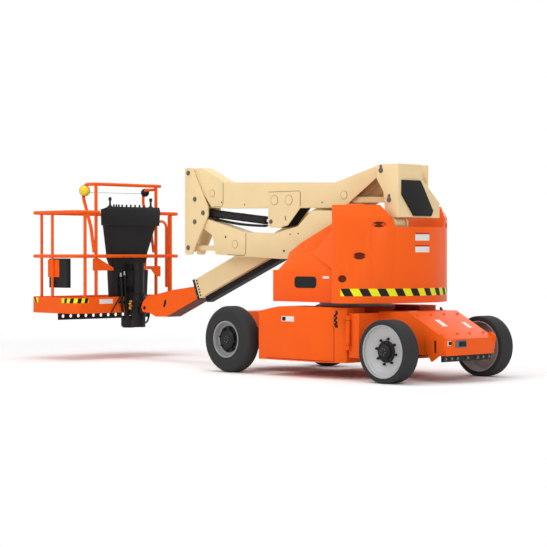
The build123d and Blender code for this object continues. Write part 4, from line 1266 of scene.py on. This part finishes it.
@dataclass
class HoodDetails:
    """Stripes, bare plates, shoulders, painted shade in the pockets, and bumps of the turntable's covers.

    Attributes:
        shop: Makes the pieces.
        radius: Radius of the hood's wall.
        band: Lower and upper edge of the striped band.
        plates: Lower and upper edges of the hood's bare plates.
        plate_edge: Height of the coloured edge on a plate.
        cover: Distance of the side covers' faces from the middle, with a small lift.
        shoulder_back: Places of the shoulder's sections along its inner edge.
        shoulder_front: Their places along its outer edge.
        shoulder_top: Height of the inner edge at each section.
        shoulder_foot: Height of the shoulder's underside.
        pockets: Angle from the tail, height, half length and half height of each pocket.
        pocket_floor: Radius of the pockets' floors.
    """

    shop: Workshop
    radius: float = 856.0
    band: Flat = (755.0, 822.0)
    plates: Sequence[Flat] = ((1254.0, 1325.0), (1148.0, 1214.0))
    plate_edge: float = 14.0
    cover: float = 600.2
    shoulder_back: Sequence[float] = (440.0, 376.0, 230.0, 78.0, -318.0)
    shoulder_front: Sequence[float] = (504.5, 440.0, 280.0, 110.0, -318.0)
    shoulder_top: Sequence[float] = (984.0, 1112.0, 1145.0, 1160.0, 1160.0)
    shoulder_foot: float = 982.5
    pockets: Sequence[Sequence[float]] = ((33, 1397, 63, 24), (45, 1115, 55, 30), (55.5, 910, 37, 31))
    pocket_floor: float = 833.5

    def build(self) -> None:
        """Makes all pieces."""
        wall = Wall.arc(123.5, 236.5, self.radius)
        self.shop.piece("hood_band", wall.band(*self.band, 0.6), Finish.YELLOW, "turntable")
        dark = wall.stripes(*self.band, 10, -36.0, 1.4)
        self.shop.piece("hood_stripes", dark, Finish.INK, "turntable")
        wall = Wall.arc(171.5, 184.0, self.radius, 12)
        for number, (low, high) in enumerate(self.plates):
            plate = wall.band(low, high, 1.0)
            self.shop.piece(f"hood_plate_{number}", plate, Finish.PLATE, "turntable")
            edge = wall.band(high - self.plate_edge, high, 1.6)
            self.shop.piece(f"hood_plate_edge_{number}", edge, Finish.RED, "turntable")
        for hand in Side:
            self._cover(hand)
        self._pockets()
        self._bumps()

    def _cover(self, hand: Side) -> None:
        """Makes the bare plate, the sloped shoulder and the small tag of a side cover.

        Args:
            hand: The machine's side.
        """
        way, label = hand.value, hand.label
        outline = rounded([(105, 17), (-105, 17), (-105, -17), (105, -17)], 36.0, 7)
        plate = Shell().prism(outline, (78, way * self.cover, 872), AHEAD, UP, -1.6 * way)
        self.shop.piece(f"cover_plate_{label}", plate, Finish.INK, "turntable")
        shoulder = self._shoulder(way)
        self.shop.piece(f"cover_shoulder_{label}", shoulder, Finish.MOULDED, "turntable")
        tag = Shell().box((-225, way * self.cover, 908), (-145, way * (self.cover + 1.4), 930))
        self.shop.piece(f"cover_tag_{label}", tag, Finish.PLATE, "turntable")

    def _shoulder(self, way: int) -> Shell:
        """Makes a shoulder: loops of four corners along the cover, drawn to a point at both ends.

        Args:
            way: 1 on the left, -1 on the right.

        Returns:
            The shell of the shoulder.
        """
        back, front, top = np.array([self.shoulder_back, self.shoulder_front, self.shoulder_top])
        inner, outer = np.full(len(back), 498.0), np.full(len(back), 599.8)
        foot = np.full(len(back), self.shoulder_foot)
        start = (back, inner, foot)
        loop = (start, (front, outer, foot), (front, outer, foot + 1.0), (back, inner, top), start)
        ring = np.stack([np.column_stack(corner) for corner in loop], 1)
        ends = np.broadcast_to(ring[[0, -1], :4].mean(axis=1, keepdims=True), (2, *ring.shape[1:]))
        ring = np.concatenate([ends[:1], ring, ends[1:]])
        return Shell().sheet(ring * np.array([1.0, way, 1.0]))

    def _pockets(self) -> None:
        """Makes the floors of the moulded pockets in painted shade: an ellipse laid on the round wall, in
        shaded orange.
        """
        shell = Shell()
        turn = np.linspace(0.0, TURN, 33)
        for angle, height, half_long, half_tall in self.pockets:
            for hand in Side:
                middle = math.radians(180.0 - hand.value * angle)
                ray = middle + half_long * np.cos(turn) / self.radius
                wall = self.pocket_floor * np.column_stack([np.cos(ray), np.sin(ray)])
                edge = np.column_stack([wall, height + half_tall * np.sin(turn)])
                hub = np.broadcast_to(edge[:-1].mean(axis=0), edge.shape)
                shell.sheet(np.stack([edge, hub]), (math.cos(middle), math.sin(middle), 0.0))
        self.shop.piece("hood_pockets", shell, Finish.SHADED, "turntable")

    def _bumps(self) -> None:
        """Makes a low bump on each shoulder: it falls with the sixth power of the distance."""
        shell = Shell()
        across = np.linspace(-1.0, 1.0, 15)
        grid_x, grid_y = np.meshgrid(across, across, indexing="ij")
        dome = np.clip(1.0 - np.maximum(np.abs(grid_x), np.abs(grid_y)) ** 6, 0.0, 1.0)
        for hand in Side:
            x = -470.0 + 90.0 * grid_x
            y = hand.value * 520.0 + 50.0 * grid_y
            shell.sheet(np.stack([x, y, 1574.5 + 12.0 * dome], -1), UP)
        self.shop.piece("hood_bumps", shell, Finish.MOULDED, "turntable", smooth=50.0)


@dataclass
class ChassisDetails:
    """Bare plates, bolts, sockets and latches of the chassis and the battery trays.

    Attributes:
        shop: Makes the pieces.
        knee: Where the nose's top starts to slope down, as x and z.
        slope: Direction down the nose's sloped top.
        nose: Place of the nose's front face along the machine.
        tray: Distance of the trays' outer faces from the middle.
        bolt_rows: Distances of the bolt rows down the slope.
        bolt_lines: Places of the bolts across the nose.
        guard_lines: Places of the guard's bolts across the machine.
        latch_x: Place of a tray's latch along the machine.
        seam_x: First and last end of a tray's seam along the machine.
    """

    shop: Workshop
    knee: Flat = (-950.0, 615.0)
    slope: Point = (-0.882, 0.0, -0.4717)
    nose: float = -1380.0
    tray: float = 720.0
    bolt_rows: Sequence[float] = (60.0, 400.0)
    bolt_lines: Sequence[float] = (-280.0, -90.0, 90.0, 280.0)
    guard_lines: Sequence[float] = (-300.0, -220.0, -140.0, 0.0, 140.0, 220.0, 300.0)
    latch_x: float = -434.0
    seam_x: Flat = (-400.0, 470.0)

    def build(self) -> None:
        """Makes all pieces."""
        self._nose_top()
        self._nose_face()
        for hand in Side:
            self._tray(hand)

    def _nose_top(self) -> None:
        """Makes the bare plates and bolts on the sloped nose."""
        along, across = np.array(self.slope), np.array(LEFT)
        knee = np.array([self.knee[0], 0.0, self.knee[1]])
        plates = Shell()
        for low, high in (((150, 73), (270, 137)), ((210, -228), (310, -172))):
            plates.prism(rectangle(low, high), knee, along, across, -1.5)
        plates.prism(rectangle((-905, 150), (-845, 215)), (0, 0, self.knee[1]), AHEAD, LEFT, 1.5)
        self.shop.piece("nose_plates", plates, Finish.PLATE, "chassis")
        bolts = Shell()
        for start in self.bolt_rows:
            for y in self.bolt_lines:
                place = knee + start * along + y * across
                bolts.turned(flanged(14, 3, 10, 9, 11), place, np.cross(across, along), 6)
        self.shop.piece("nose_bolts", bolts, Finish.ORANGE, "chassis")

    def _nose_face(self) -> None:
        """Makes the sockets, the black sheets of painted shade behind the slots, the tag and bolts on the
        front of the nose.
        """
        face = self.nose
        plate = Shell().box((face - 4, 50, 306), (face, 205, 374))
        self.shop.piece("charge_plate", plate, Finish.STEEL, "chassis", bevel=2.0)
        socket = Shell().box((face - 12, 70, 318), (face - 4, 150, 362))
        socket.box((face - 3, 255, 335), (face, 300, 367))
        self.shop.piece("charge_socket", socket, Finish.PLASTIC, "chassis", bevel=4.0)
        # Painted shade: black sheets behind the tie-down slots stand for the shadow inside the nose.
        slots = Shell()
        for hand in Side:
            slots.box((-1285, hand.value * 335.2, 263), (-1257, hand.value * 336.2, 371))
        self.shop.piece("tie_slot_backs", slots, Finish.INK, "chassis")
        tag = Shell().box((face - 1.6, 265, 330), (face, 312, 372))
        self.shop.piece("nose_tag", tag, Finish.PLATE, "chassis")
        bolts = Shell()
        for y in self.guard_lines:
            bolts.turned(flanged(16, 3, 12, 11, 12), (-1345, y, 212), (-1, 0, 0), 6)
        self.shop.piece("guard_bolts", bolts, Finish.ZINC, "chassis")

    def _tray(self, hand: Side) -> None:
        """Makes the plate, the mark, the latch and the seam lines in painted shade of a battery tray.

        The latch's strap runs up in three full sine waves and stands out by half of one.

        Args:
            hand: The machine's side.
        """
        way, label, body = hand.value, hand.label, f"battery_{hand.label}"
        face, raised, outer = way * self.tray, way * (self.tray + 1.5), way * (self.tray + 6.0)
        plate = Shell().box((107, face, 511), (268, raised, 559))
        self.shop.piece(f"tray_plate_{label}", plate, Finish.PLATE, body)
        mark = Shell().box((215, raised, 517), (260, way * (self.tray + 2.2), 553))
        self.shop.piece(f"tray_mark_{label}", mark, Finish.INK, body)
        latch = Shell().box((self.latch_x - 14, face, 470), (self.latch_x + 14, outer, 500))
        latch.box((self.latch_x - 10, face, 596), (self.latch_x + 10, outer, 626))
        rise = np.linspace(0.0, math.pi, 37)
        x = self.latch_x + 12.0 * np.sin(6.0 * rise)
        y = way * (self.tray + 8.0 + 6.0 * np.sin(rise))
        latch.tube(np.column_stack([x, y, np.linspace(490.0, 610.0, 37)]), 9.0, 10)
        self.shop.piece(f"tray_latch_{label}", latch, Finish.PLASTIC, body, bevel=2.0)
        # Painted shade: the seam lines are shaded orange tubes that stand for the shadow in the tray's
        # joints.
        corner = (self.seam_x[0], face, 165)
        seam = Shell()
        for end in ((self.seam_x[0], face, 590), (self.seam_x[1], face, 165)):
            seam.tube(np.linspace(corner, end, 8), 2.5, 8)
        self.shop.piece(f"tray_seam_{label}", seam, Finish.SHADED, body)


@dataclass
class PlatformDetails:
    """Striped toe board, console controls, sensor and box strap of the platform.

    Attributes:
        shop: Makes the pieces.
        band: Lower and upper edge of the striped bands.
        corner: Centre of the toe board's round corner, in plan.
        corner_radius: Radius of that corner.
        rear: Place of the toe board's rear face along the machine.
        left: Distance of its left face from the middle.
        stick_lines: Places of the console's sticks across the machine.
        knob_lines: Places of its knobs.
        sensor: Middle of the lens unit.
        reel: Middle of the reel at the other end of the sensor's wire.
        sensor_way: The way that the lens looks.
    """

    shop: Workshop
    band: Flat = (612.0, 663.0)
    corner: Flat = (3461.0, 640.0)
    corner_radius: float = 120.0
    rear: float = 3341.0
    left: float = 760.0
    stick_lines: Sequence[float] = (270.0, -300.0)
    knob_lines: Sequence[float] = (235.0, 200.0, 166.0, 120.0, 60.0, 0.0, -60.0, -123.0, -184.0)
    sensor: Point = (3548.0, 455.0, 1812.0)
    reel: Point = (3562.0, -402.0, 1812.0)
    sensor_way: Point = (-0.7, 0.714, 0.0)

    def build(self) -> None:
        """Makes all pieces."""
        self._toe_board()
        self._controls()
        self._sensor()
        strap = Shell().box((3640, 725.5, 886), (3840, 727.5, 1072))
        self.shop.piece("box_strap", strap, Finish.ORANGE, "platform")

    def _toe_board(self) -> None:
        """Makes the striped bands, round the corner and at the end, and the bare plate."""
        turn = np.radians(np.linspace(180.0, 90.0, 20))
        out = np.column_stack([np.cos(turn), np.sin(turn)])
        bend = np.array(self.corner) + self.corner_radius * out
        path = np.vstack([(self.rear, 568.0), bend, (3554.0, self.left)])
        corner = Wall(path, np.vstack([out[:1], out, out[-1:]]))
        end = Wall(np.array([(4035.0, self.left), (3967.0, self.left)]), np.array([LEFT[:2], LEFT[:2]]))
        for name, wall, count in (("corner", corner, 4), ("end", end, 1)):
            self.shop.piece(f"toe_band_{name}", wall.band(*self.band, 0.6), Finish.YELLOW, "platform")
            dark = wall.stripes(*self.band, count, -12.0, 1.4)
            self.shop.piece(f"toe_stripes_{name}", dark, Finish.INK, "platform")
        plate = Shell().box((self.rear - 1.6, 237, 600), (self.rear, 420, 650))
        self.shop.piece("toe_plate", plate, Finish.PLATE, "platform")

    def _controls(self) -> None:
        """Makes the sticks in their boots, the knobs and the stop button of the console."""
        boot = [(0, 32), (12, 30), (30, 12), (75, 10), (80, 17), (110, 17), (118, TIP)]
        sticks = Shell()
        for y in self.stick_lines:
            sticks.turned(boot, (3345, y, 1628), UP, 18)
        self.shop.piece("console_sticks", sticks, Finish.PLASTIC, "platform", smooth=50.0)
        knobs = Shell()
        for y in self.knob_lines:
            knobs.turned([(0, 11), (22, 9), (30, 12), (36, TIP)], (3325, y, 1632), (-0.1, 0, 1), 12)
        self.shop.piece("console_knobs", knobs, Finish.PLASTIC, "platform")
        mushroom = [(0, 14), (14, 14), (14, 24), (26, 22), (30, TIP)]
        stop = Shell().turned(mushroom, (3400, -350, 1616), UP, 20)
        self.shop.piece("stop_button", stop, Finish.RED, "platform")

    def _sensor(self) -> None:
        """Makes the yellow lens unit, the reel and the wire between them."""
        dome = [(0, 50), (12, 56), (30, 50), (42, 30), (46, TIP)]
        lens = Shell().turned(dome, self.sensor, self.sensor_way, 28)
        self.shop.piece("sensor_lens", lens, Finish.LENS, "platform", smooth=60.0)
        cup = [(-30, 40), (0, 60), (4, 58), (4, TIP)]
        back = Shell().turned(cup, self.sensor, self.sensor_way, 28)
        self.shop.piece("sensor_body", back, Finish.PLASTIC, "platform")
        spool = [(-30, 20), (-20, 45), (20, 45), (30, 20), (30, TIP)]
        reel = Shell().turned(spool, self.reel, self.sensor_way, 20)
        self.shop.piece("sensor_reel", reel, Finish.PLASTIC, "platform")
        wire = Shell().tube(np.linspace((3552, 450, 1795), (3562, -400, 1800), 9), 2.2, 6)
        self.shop.piece("sensor_wire", wire, Finish.INK, "platform")


@dataclass
class RotatorDetails:
    """Hoses, valve, fittings and drum round the platform's rotator.

    Attributes:
        shop: Makes the pieces.
        column: Place of the rotator's column along the machine.
        fitting_reach: Distance of the fittings' feet from the column's axis.
        fittings: Angle from the front, in degrees, and height of each fitting.
        hose_foot: Where the hoses leave the column, as x and distance from the middle.
        hoses: Side, outermost place from the middle, rearmost x, lower and upper end of each hose.
        drum: Foot of the rotator's drum.
        drum_bolts: Radius of the drum's bolt circle.
        mount: Place of the mount's hoses along the machine.
        mount_hoses: Distance from the middle and upper end of each of those.
        mount_low: Their lower end.
    """

    shop: Workshop
    column: float = 3195.0
    fitting_reach: float = 74.0
    fittings: Sequence[Flat] = ((42.0, 548.0), (42.0, 592.0), (66.0, 570.0), (66.0, 620.0))
    hose_foot: Flat = (3147.0, 57.0)
    hoses: Sequence[Tuple[Side, float, float, float, float]] = (
        (Side.LEFT, 84.0, 3112.0, 385.0, 665.0),
        (Side.LEFT, 90.0, 3124.0, 372.0, 690.0),
        (Side.RIGHT, 84.0, 3112.0, 390.0, 660.0),
    )
    drum: Point = (3362.0, 0.0, 335.0)
    drum_bolts: float = 77.0
    mount: float = 3322.0
    mount_hoses: Sequence[Flat] = ((92.0, 905.0), (142.0, 890.0))
    mount_low: float = 505.0

    def build(self) -> None:
        """Makes all pieces."""
        self._column_hoses()
        block = Shell().box((3066, 73, 566), (3122, 98, 628))
        self.shop.piece("rotator_valve", block, Finish.BLACK, "platform_support", bevel=3.0)
        fittings = Shell()
        for angle, z in self.fittings:
            way = np.array([math.cos(math.radians(angle)), math.sin(math.radians(angle)), 0.0])
            place = np.array([self.column, 0.0, z]) + self.fitting_reach * way
            fittings.turned(flanged(15, 16, 10, 10, 30), place, way, 6)
        self.shop.piece("rotator_fittings", fittings, Finish.BRASS, "platform_support")
        self._drum()
        self._mount()

    def _column_hoses(self) -> None:
        """Makes the column's hoses, which bow out by the root of half a sine as they rise."""
        shell = Shell()
        share = np.linspace(0.0, 1.0, 33)
        swell = np.sqrt(np.sin(math.pi * share))
        foot_x, foot_y = self.hose_foot
        for hand, y_out, x_out, low, high in self.hoses:
            x = foot_x + (x_out - foot_x) * swell
            y = hand.value * (foot_y + (y_out - foot_y) * swell)
            shell.tube(np.column_stack([x, y, low + (high - low) * share]), 9.5, 10)
        self.shop.piece("rotator_hoses", shell, Finish.PLASTIC, "platform_support", smooth=60.0)

    def _drum(self) -> None:
        """Makes the rotator's drum with its bracket and a circle of bolts."""
        profile = [(0, 68), (14, 68), (14, 82), (108, 82), (108, 72), (127, 72)]
        shell = Shell().turned(profile, self.drum, UP, 36)
        shell.box((3200, -45, 352), (3360, 45, 438))
        for x, y in circle(8, self.drum_bolts):
            shell.turned(stud(6, 7), (self.drum[0] + x, y, self.drum[2] + 108.0), UP, 6)
        self.shop.piece("rotator_motor", shell, Finish.BLACK, "platform_support", bevel=2.0)

    def _mount(self) -> None:
        """Makes the mount's hoses, clamps and brace, and the fittings on the hoses.

        Each hose bows back by half a sine and drifts inwards with the cube of its length.
        """
        hoses, fittings = Shell(), Shell()
        share = np.linspace(0.0, 1.0, 25)
        for y, top in self.mount_hoses:
            x = self.mount - 14.0 * np.sin(math.pi * share)
            z = top + (self.mount_low - top) * share
            hoses.tube(np.column_stack([x, y - 30.0 * share**3, z]), 13.0, 12)
            fittings.turned(flanged(14, 14, 10, 10, 40), (self.mount, y, top), UP, 12)
        hoses.tube([(3332, 264, 506), (3332, 146, 668)], 7.0, 10)
        for low in (600.0, 800.0):
            hoses.box((3316, 56, low), (3334, 162, low + 26))
        self.shop.piece("mount_hoses", hoses, Finish.PLASTIC, "platform", smooth=60.0)
        self.shop.piece("mount_fittings", fittings, Finish.SILVER, "platform")


@dataclass(frozen=True)
class Lamp:
    """A square soft lamp.

    Attributes:
        name: Name of the lamp.
        place: Where it stands, in metres.
        size: Edge of its square, in metres.
        power: Power in watts.
    """

    name: str
    place: Point
    size: float
    power: float


@dataclass
class Studio:
    """Floor, light, world and camera.

    Attributes:
        lamps: The lamps.
        lamp_aim: Where the lamps point.
        floor_half: Half of the floor's edge.
        floor_shade: Linear grey of the floor.
        floor_roughness: Roughness of the floor.
        fade: Where the floor starts to fade into white, and where it is white.
        surround: Strength of the surround as light and as seen.
        eye: The camera's place, from the swing axis.
        aim: Where it looks, from the swing axis.
        lens: Its focal length in millimetres.
        sensor: Its sensor's width in millimetres.
        reach: How far it sees.
    """

    lamps: Sequence[Lamp] = (
        Lamp("key", (1.0, 11.0, 7.5), 6.0, 410.0),
        Lamp("top", (0.5, 1.0, 9.5), 7.0, 420.0),
        Lamp("fill", (-10.0, 4.0, 6.0), 6.0, 330.0),
        Lamp("rim", (2.0, -9.0, 6.0), 6.0, 200.0),
    )
    lamp_aim: Point = (0.0, 0.0, 0.9)
    floor_half: float = 60.0
    floor_shade: float = 0.95
    floor_roughness: float = 0.9
    fade: Flat = (3.0, 7.5)
    surround: Flat = (0.5, 1.0)
    eye: Point = (-10.902, 11.753, 1.133)
    aim: Point = (1.1123, 0.0, 0.93935)
    lens: float = 111.65
    sensor: float = 36.0
    reach: float = 300.0

    def build(self) -> None:
        """Makes the whole stage."""
        scene = bpy.context.scene
        scene.view_settings.view_transform = "Standard"
        self._floor()
        self._world(scene)
        for lamp in self.lamps:
            self._light(lamp)
        self._camera(scene)

    def _floor(self) -> None:
        """Makes the pale floor, which fades into the white surround with a smooth step."""
        made = bpy.data.meshes.new("studio_floor")
        half = self.floor_half
        corners = [(x, y, 0.0) for x, y in rectangle((-half, -half), (half, half))]
        made.from_pydata(corners, [], [(0, 1, 2, 3)])
        floor = bpy.data.objects.new("studio_floor", made)
        bpy.context.scene.collection.objects.link(floor)
        material = bpy.data.materials.new("pale_floor")
        material.use_nodes = True
        nodes, links = material.node_tree.nodes, material.node_tree.links
        shader = nodes["Principled BSDF"]
        shader.inputs["Base Color"].default_value = (*[self.floor_shade] * 3, 1.0)
        shader.inputs["Roughness"].default_value = self.floor_roughness
        place = nodes.new("ShaderNodeTexCoord")
        reach = nodes.new("ShaderNodeVectorMath")
        reach.operation = "LENGTH"
        links.new(place.outputs["Object"], reach.inputs[0])
        fade = nodes.new("ShaderNodeMapRange")
        fade.interpolation_type = "SMOOTHSTEP"
        fade.inputs["From Min"].default_value = self.fade[0]
        fade.inputs["From Max"].default_value = self.fade[1]
        links.new(reach.outputs["Value"], fade.inputs["Value"])
        share = nodes.new("ShaderNodeMath")
        share.operation = "MULTIPLY"
        links.new(fade.outputs["Result"], share.inputs[0])
        links.new(self._seen(material.node_tree), share.inputs[1])
        white = nodes.new("ShaderNodeEmission")
        mix = nodes.new("ShaderNodeMixShader")
        links.new(share.outputs["Value"], mix.inputs["Fac"])
        links.new(shader.outputs["BSDF"], mix.inputs[1])
        links.new(white.outputs["Emission"], mix.inputs[2])
        links.new(mix.outputs["Shader"], nodes["Material Output"].inputs["Surface"])
        made.materials.append(material)

    def _seen(self, tree: bpy.types.NodeTree) -> bpy.types.NodeSocket:
        """Tells the rays that show the surround from those that light the machine.

        Args:
            tree: The node tree that asks.

        Returns:
            A socket that is 1 for camera, glossy and transmitted rays.
        """
        path = tree.nodes.new("ShaderNodeLightPath")
        total = path.outputs["Is Camera Ray"]
        for name in ("Is Glossy Ray", "Is Transmission Ray"):
            most = tree.nodes.new("ShaderNodeMath")
            most.operation = "MAXIMUM"
            tree.links.new(total, most.inputs[0])
            tree.links.new(path.outputs[name], most.inputs[1])
            total = most.outputs["Value"]
        return total

    def _world(self, scene: bpy.types.Scene) -> None:
        """Makes the even white surround.

        Args:
            scene: The scene to light.
        """
        world = bpy.data.worlds.new("studio")
        world.use_nodes = True
        tree = world.node_tree
        back = tree.nodes["Background"]
        back.inputs["Color"].default_value = (1.0, 1.0, 1.0, 1.0)
        level = tree.nodes.new("ShaderNodeMapRange")
        level.inputs["To Min"].default_value = self.surround[0]
        level.inputs["To Max"].default_value = self.surround[1]
        tree.links.new(self._seen(tree), level.inputs["Value"])
        tree.links.new(level.outputs["Result"], back.inputs["Strength"])
        scene.world = world

    def _light(self, lamp: Lamp) -> None:
        """Makes one soft lamp aimed at the machine.

        Args:
            lamp: The lamp to make.
        """
        data = bpy.data.lights.new(lamp.name, "AREA")
        data.size = lamp.size
        data.energy = lamp.power
        made = bpy.data.objects.new(lamp.name, data)
        made.location = lamp.place
        aim = Vector(self.lamp_aim) - Vector(lamp.place)
        made.rotation_euler = aim.to_track_quat("-Z", "Y").to_euler()
        bpy.context.scene.collection.objects.link(made)

    def _camera(self, scene: bpy.types.Scene) -> None:
        """Places the camera where the photograph was taken.

        Args:
            scene: The scene that uses it.
        """
        data = bpy.data.cameras.new("camera")
        data.sensor_width = self.sensor
        data.lens = self.lens
        data.clip_end = self.reach
        camera = bpy.data.objects.new("camera", data)
        shift = Vector((SWING_X, 0.0, 0.0))
        place, aim = Vector(self.eye) + shift, Vector(self.aim) + shift
        camera.location = place
        camera.rotation_euler = (aim - place).to_track_quat("-Z", "Y").to_euler()
        scene.collection.objects.link(camera)
        scene.camera = camera


def clear_scene() -> None:
    """Empties the start-up scene."""
    for thing in list(bpy.data.objects):
        bpy.data.objects.remove(thing)


def main() -> None:
    """Builds the whole scene: the CAD frame, its paint, the details in order, and the stage."""
    logging.basicConfig(level=logging.INFO)
    clear_scene()
    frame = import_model()
    materials = MaterialLibrary()
    FramePainter(materials).paint(frame["nodes"])
    shop = Workshop(materials)
    TowerDetails(shop).build()
    BoomDetails(shop).build()
    WheelDetails(shop).build()
    HoodDetails(shop).build()
    ChassisDetails(shop).build()
    PlatformDetails(shop).build()
    RotatorDetails(shop).build()
    Studio().build()
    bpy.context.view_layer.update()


if __name__ == "__main__":
    main()
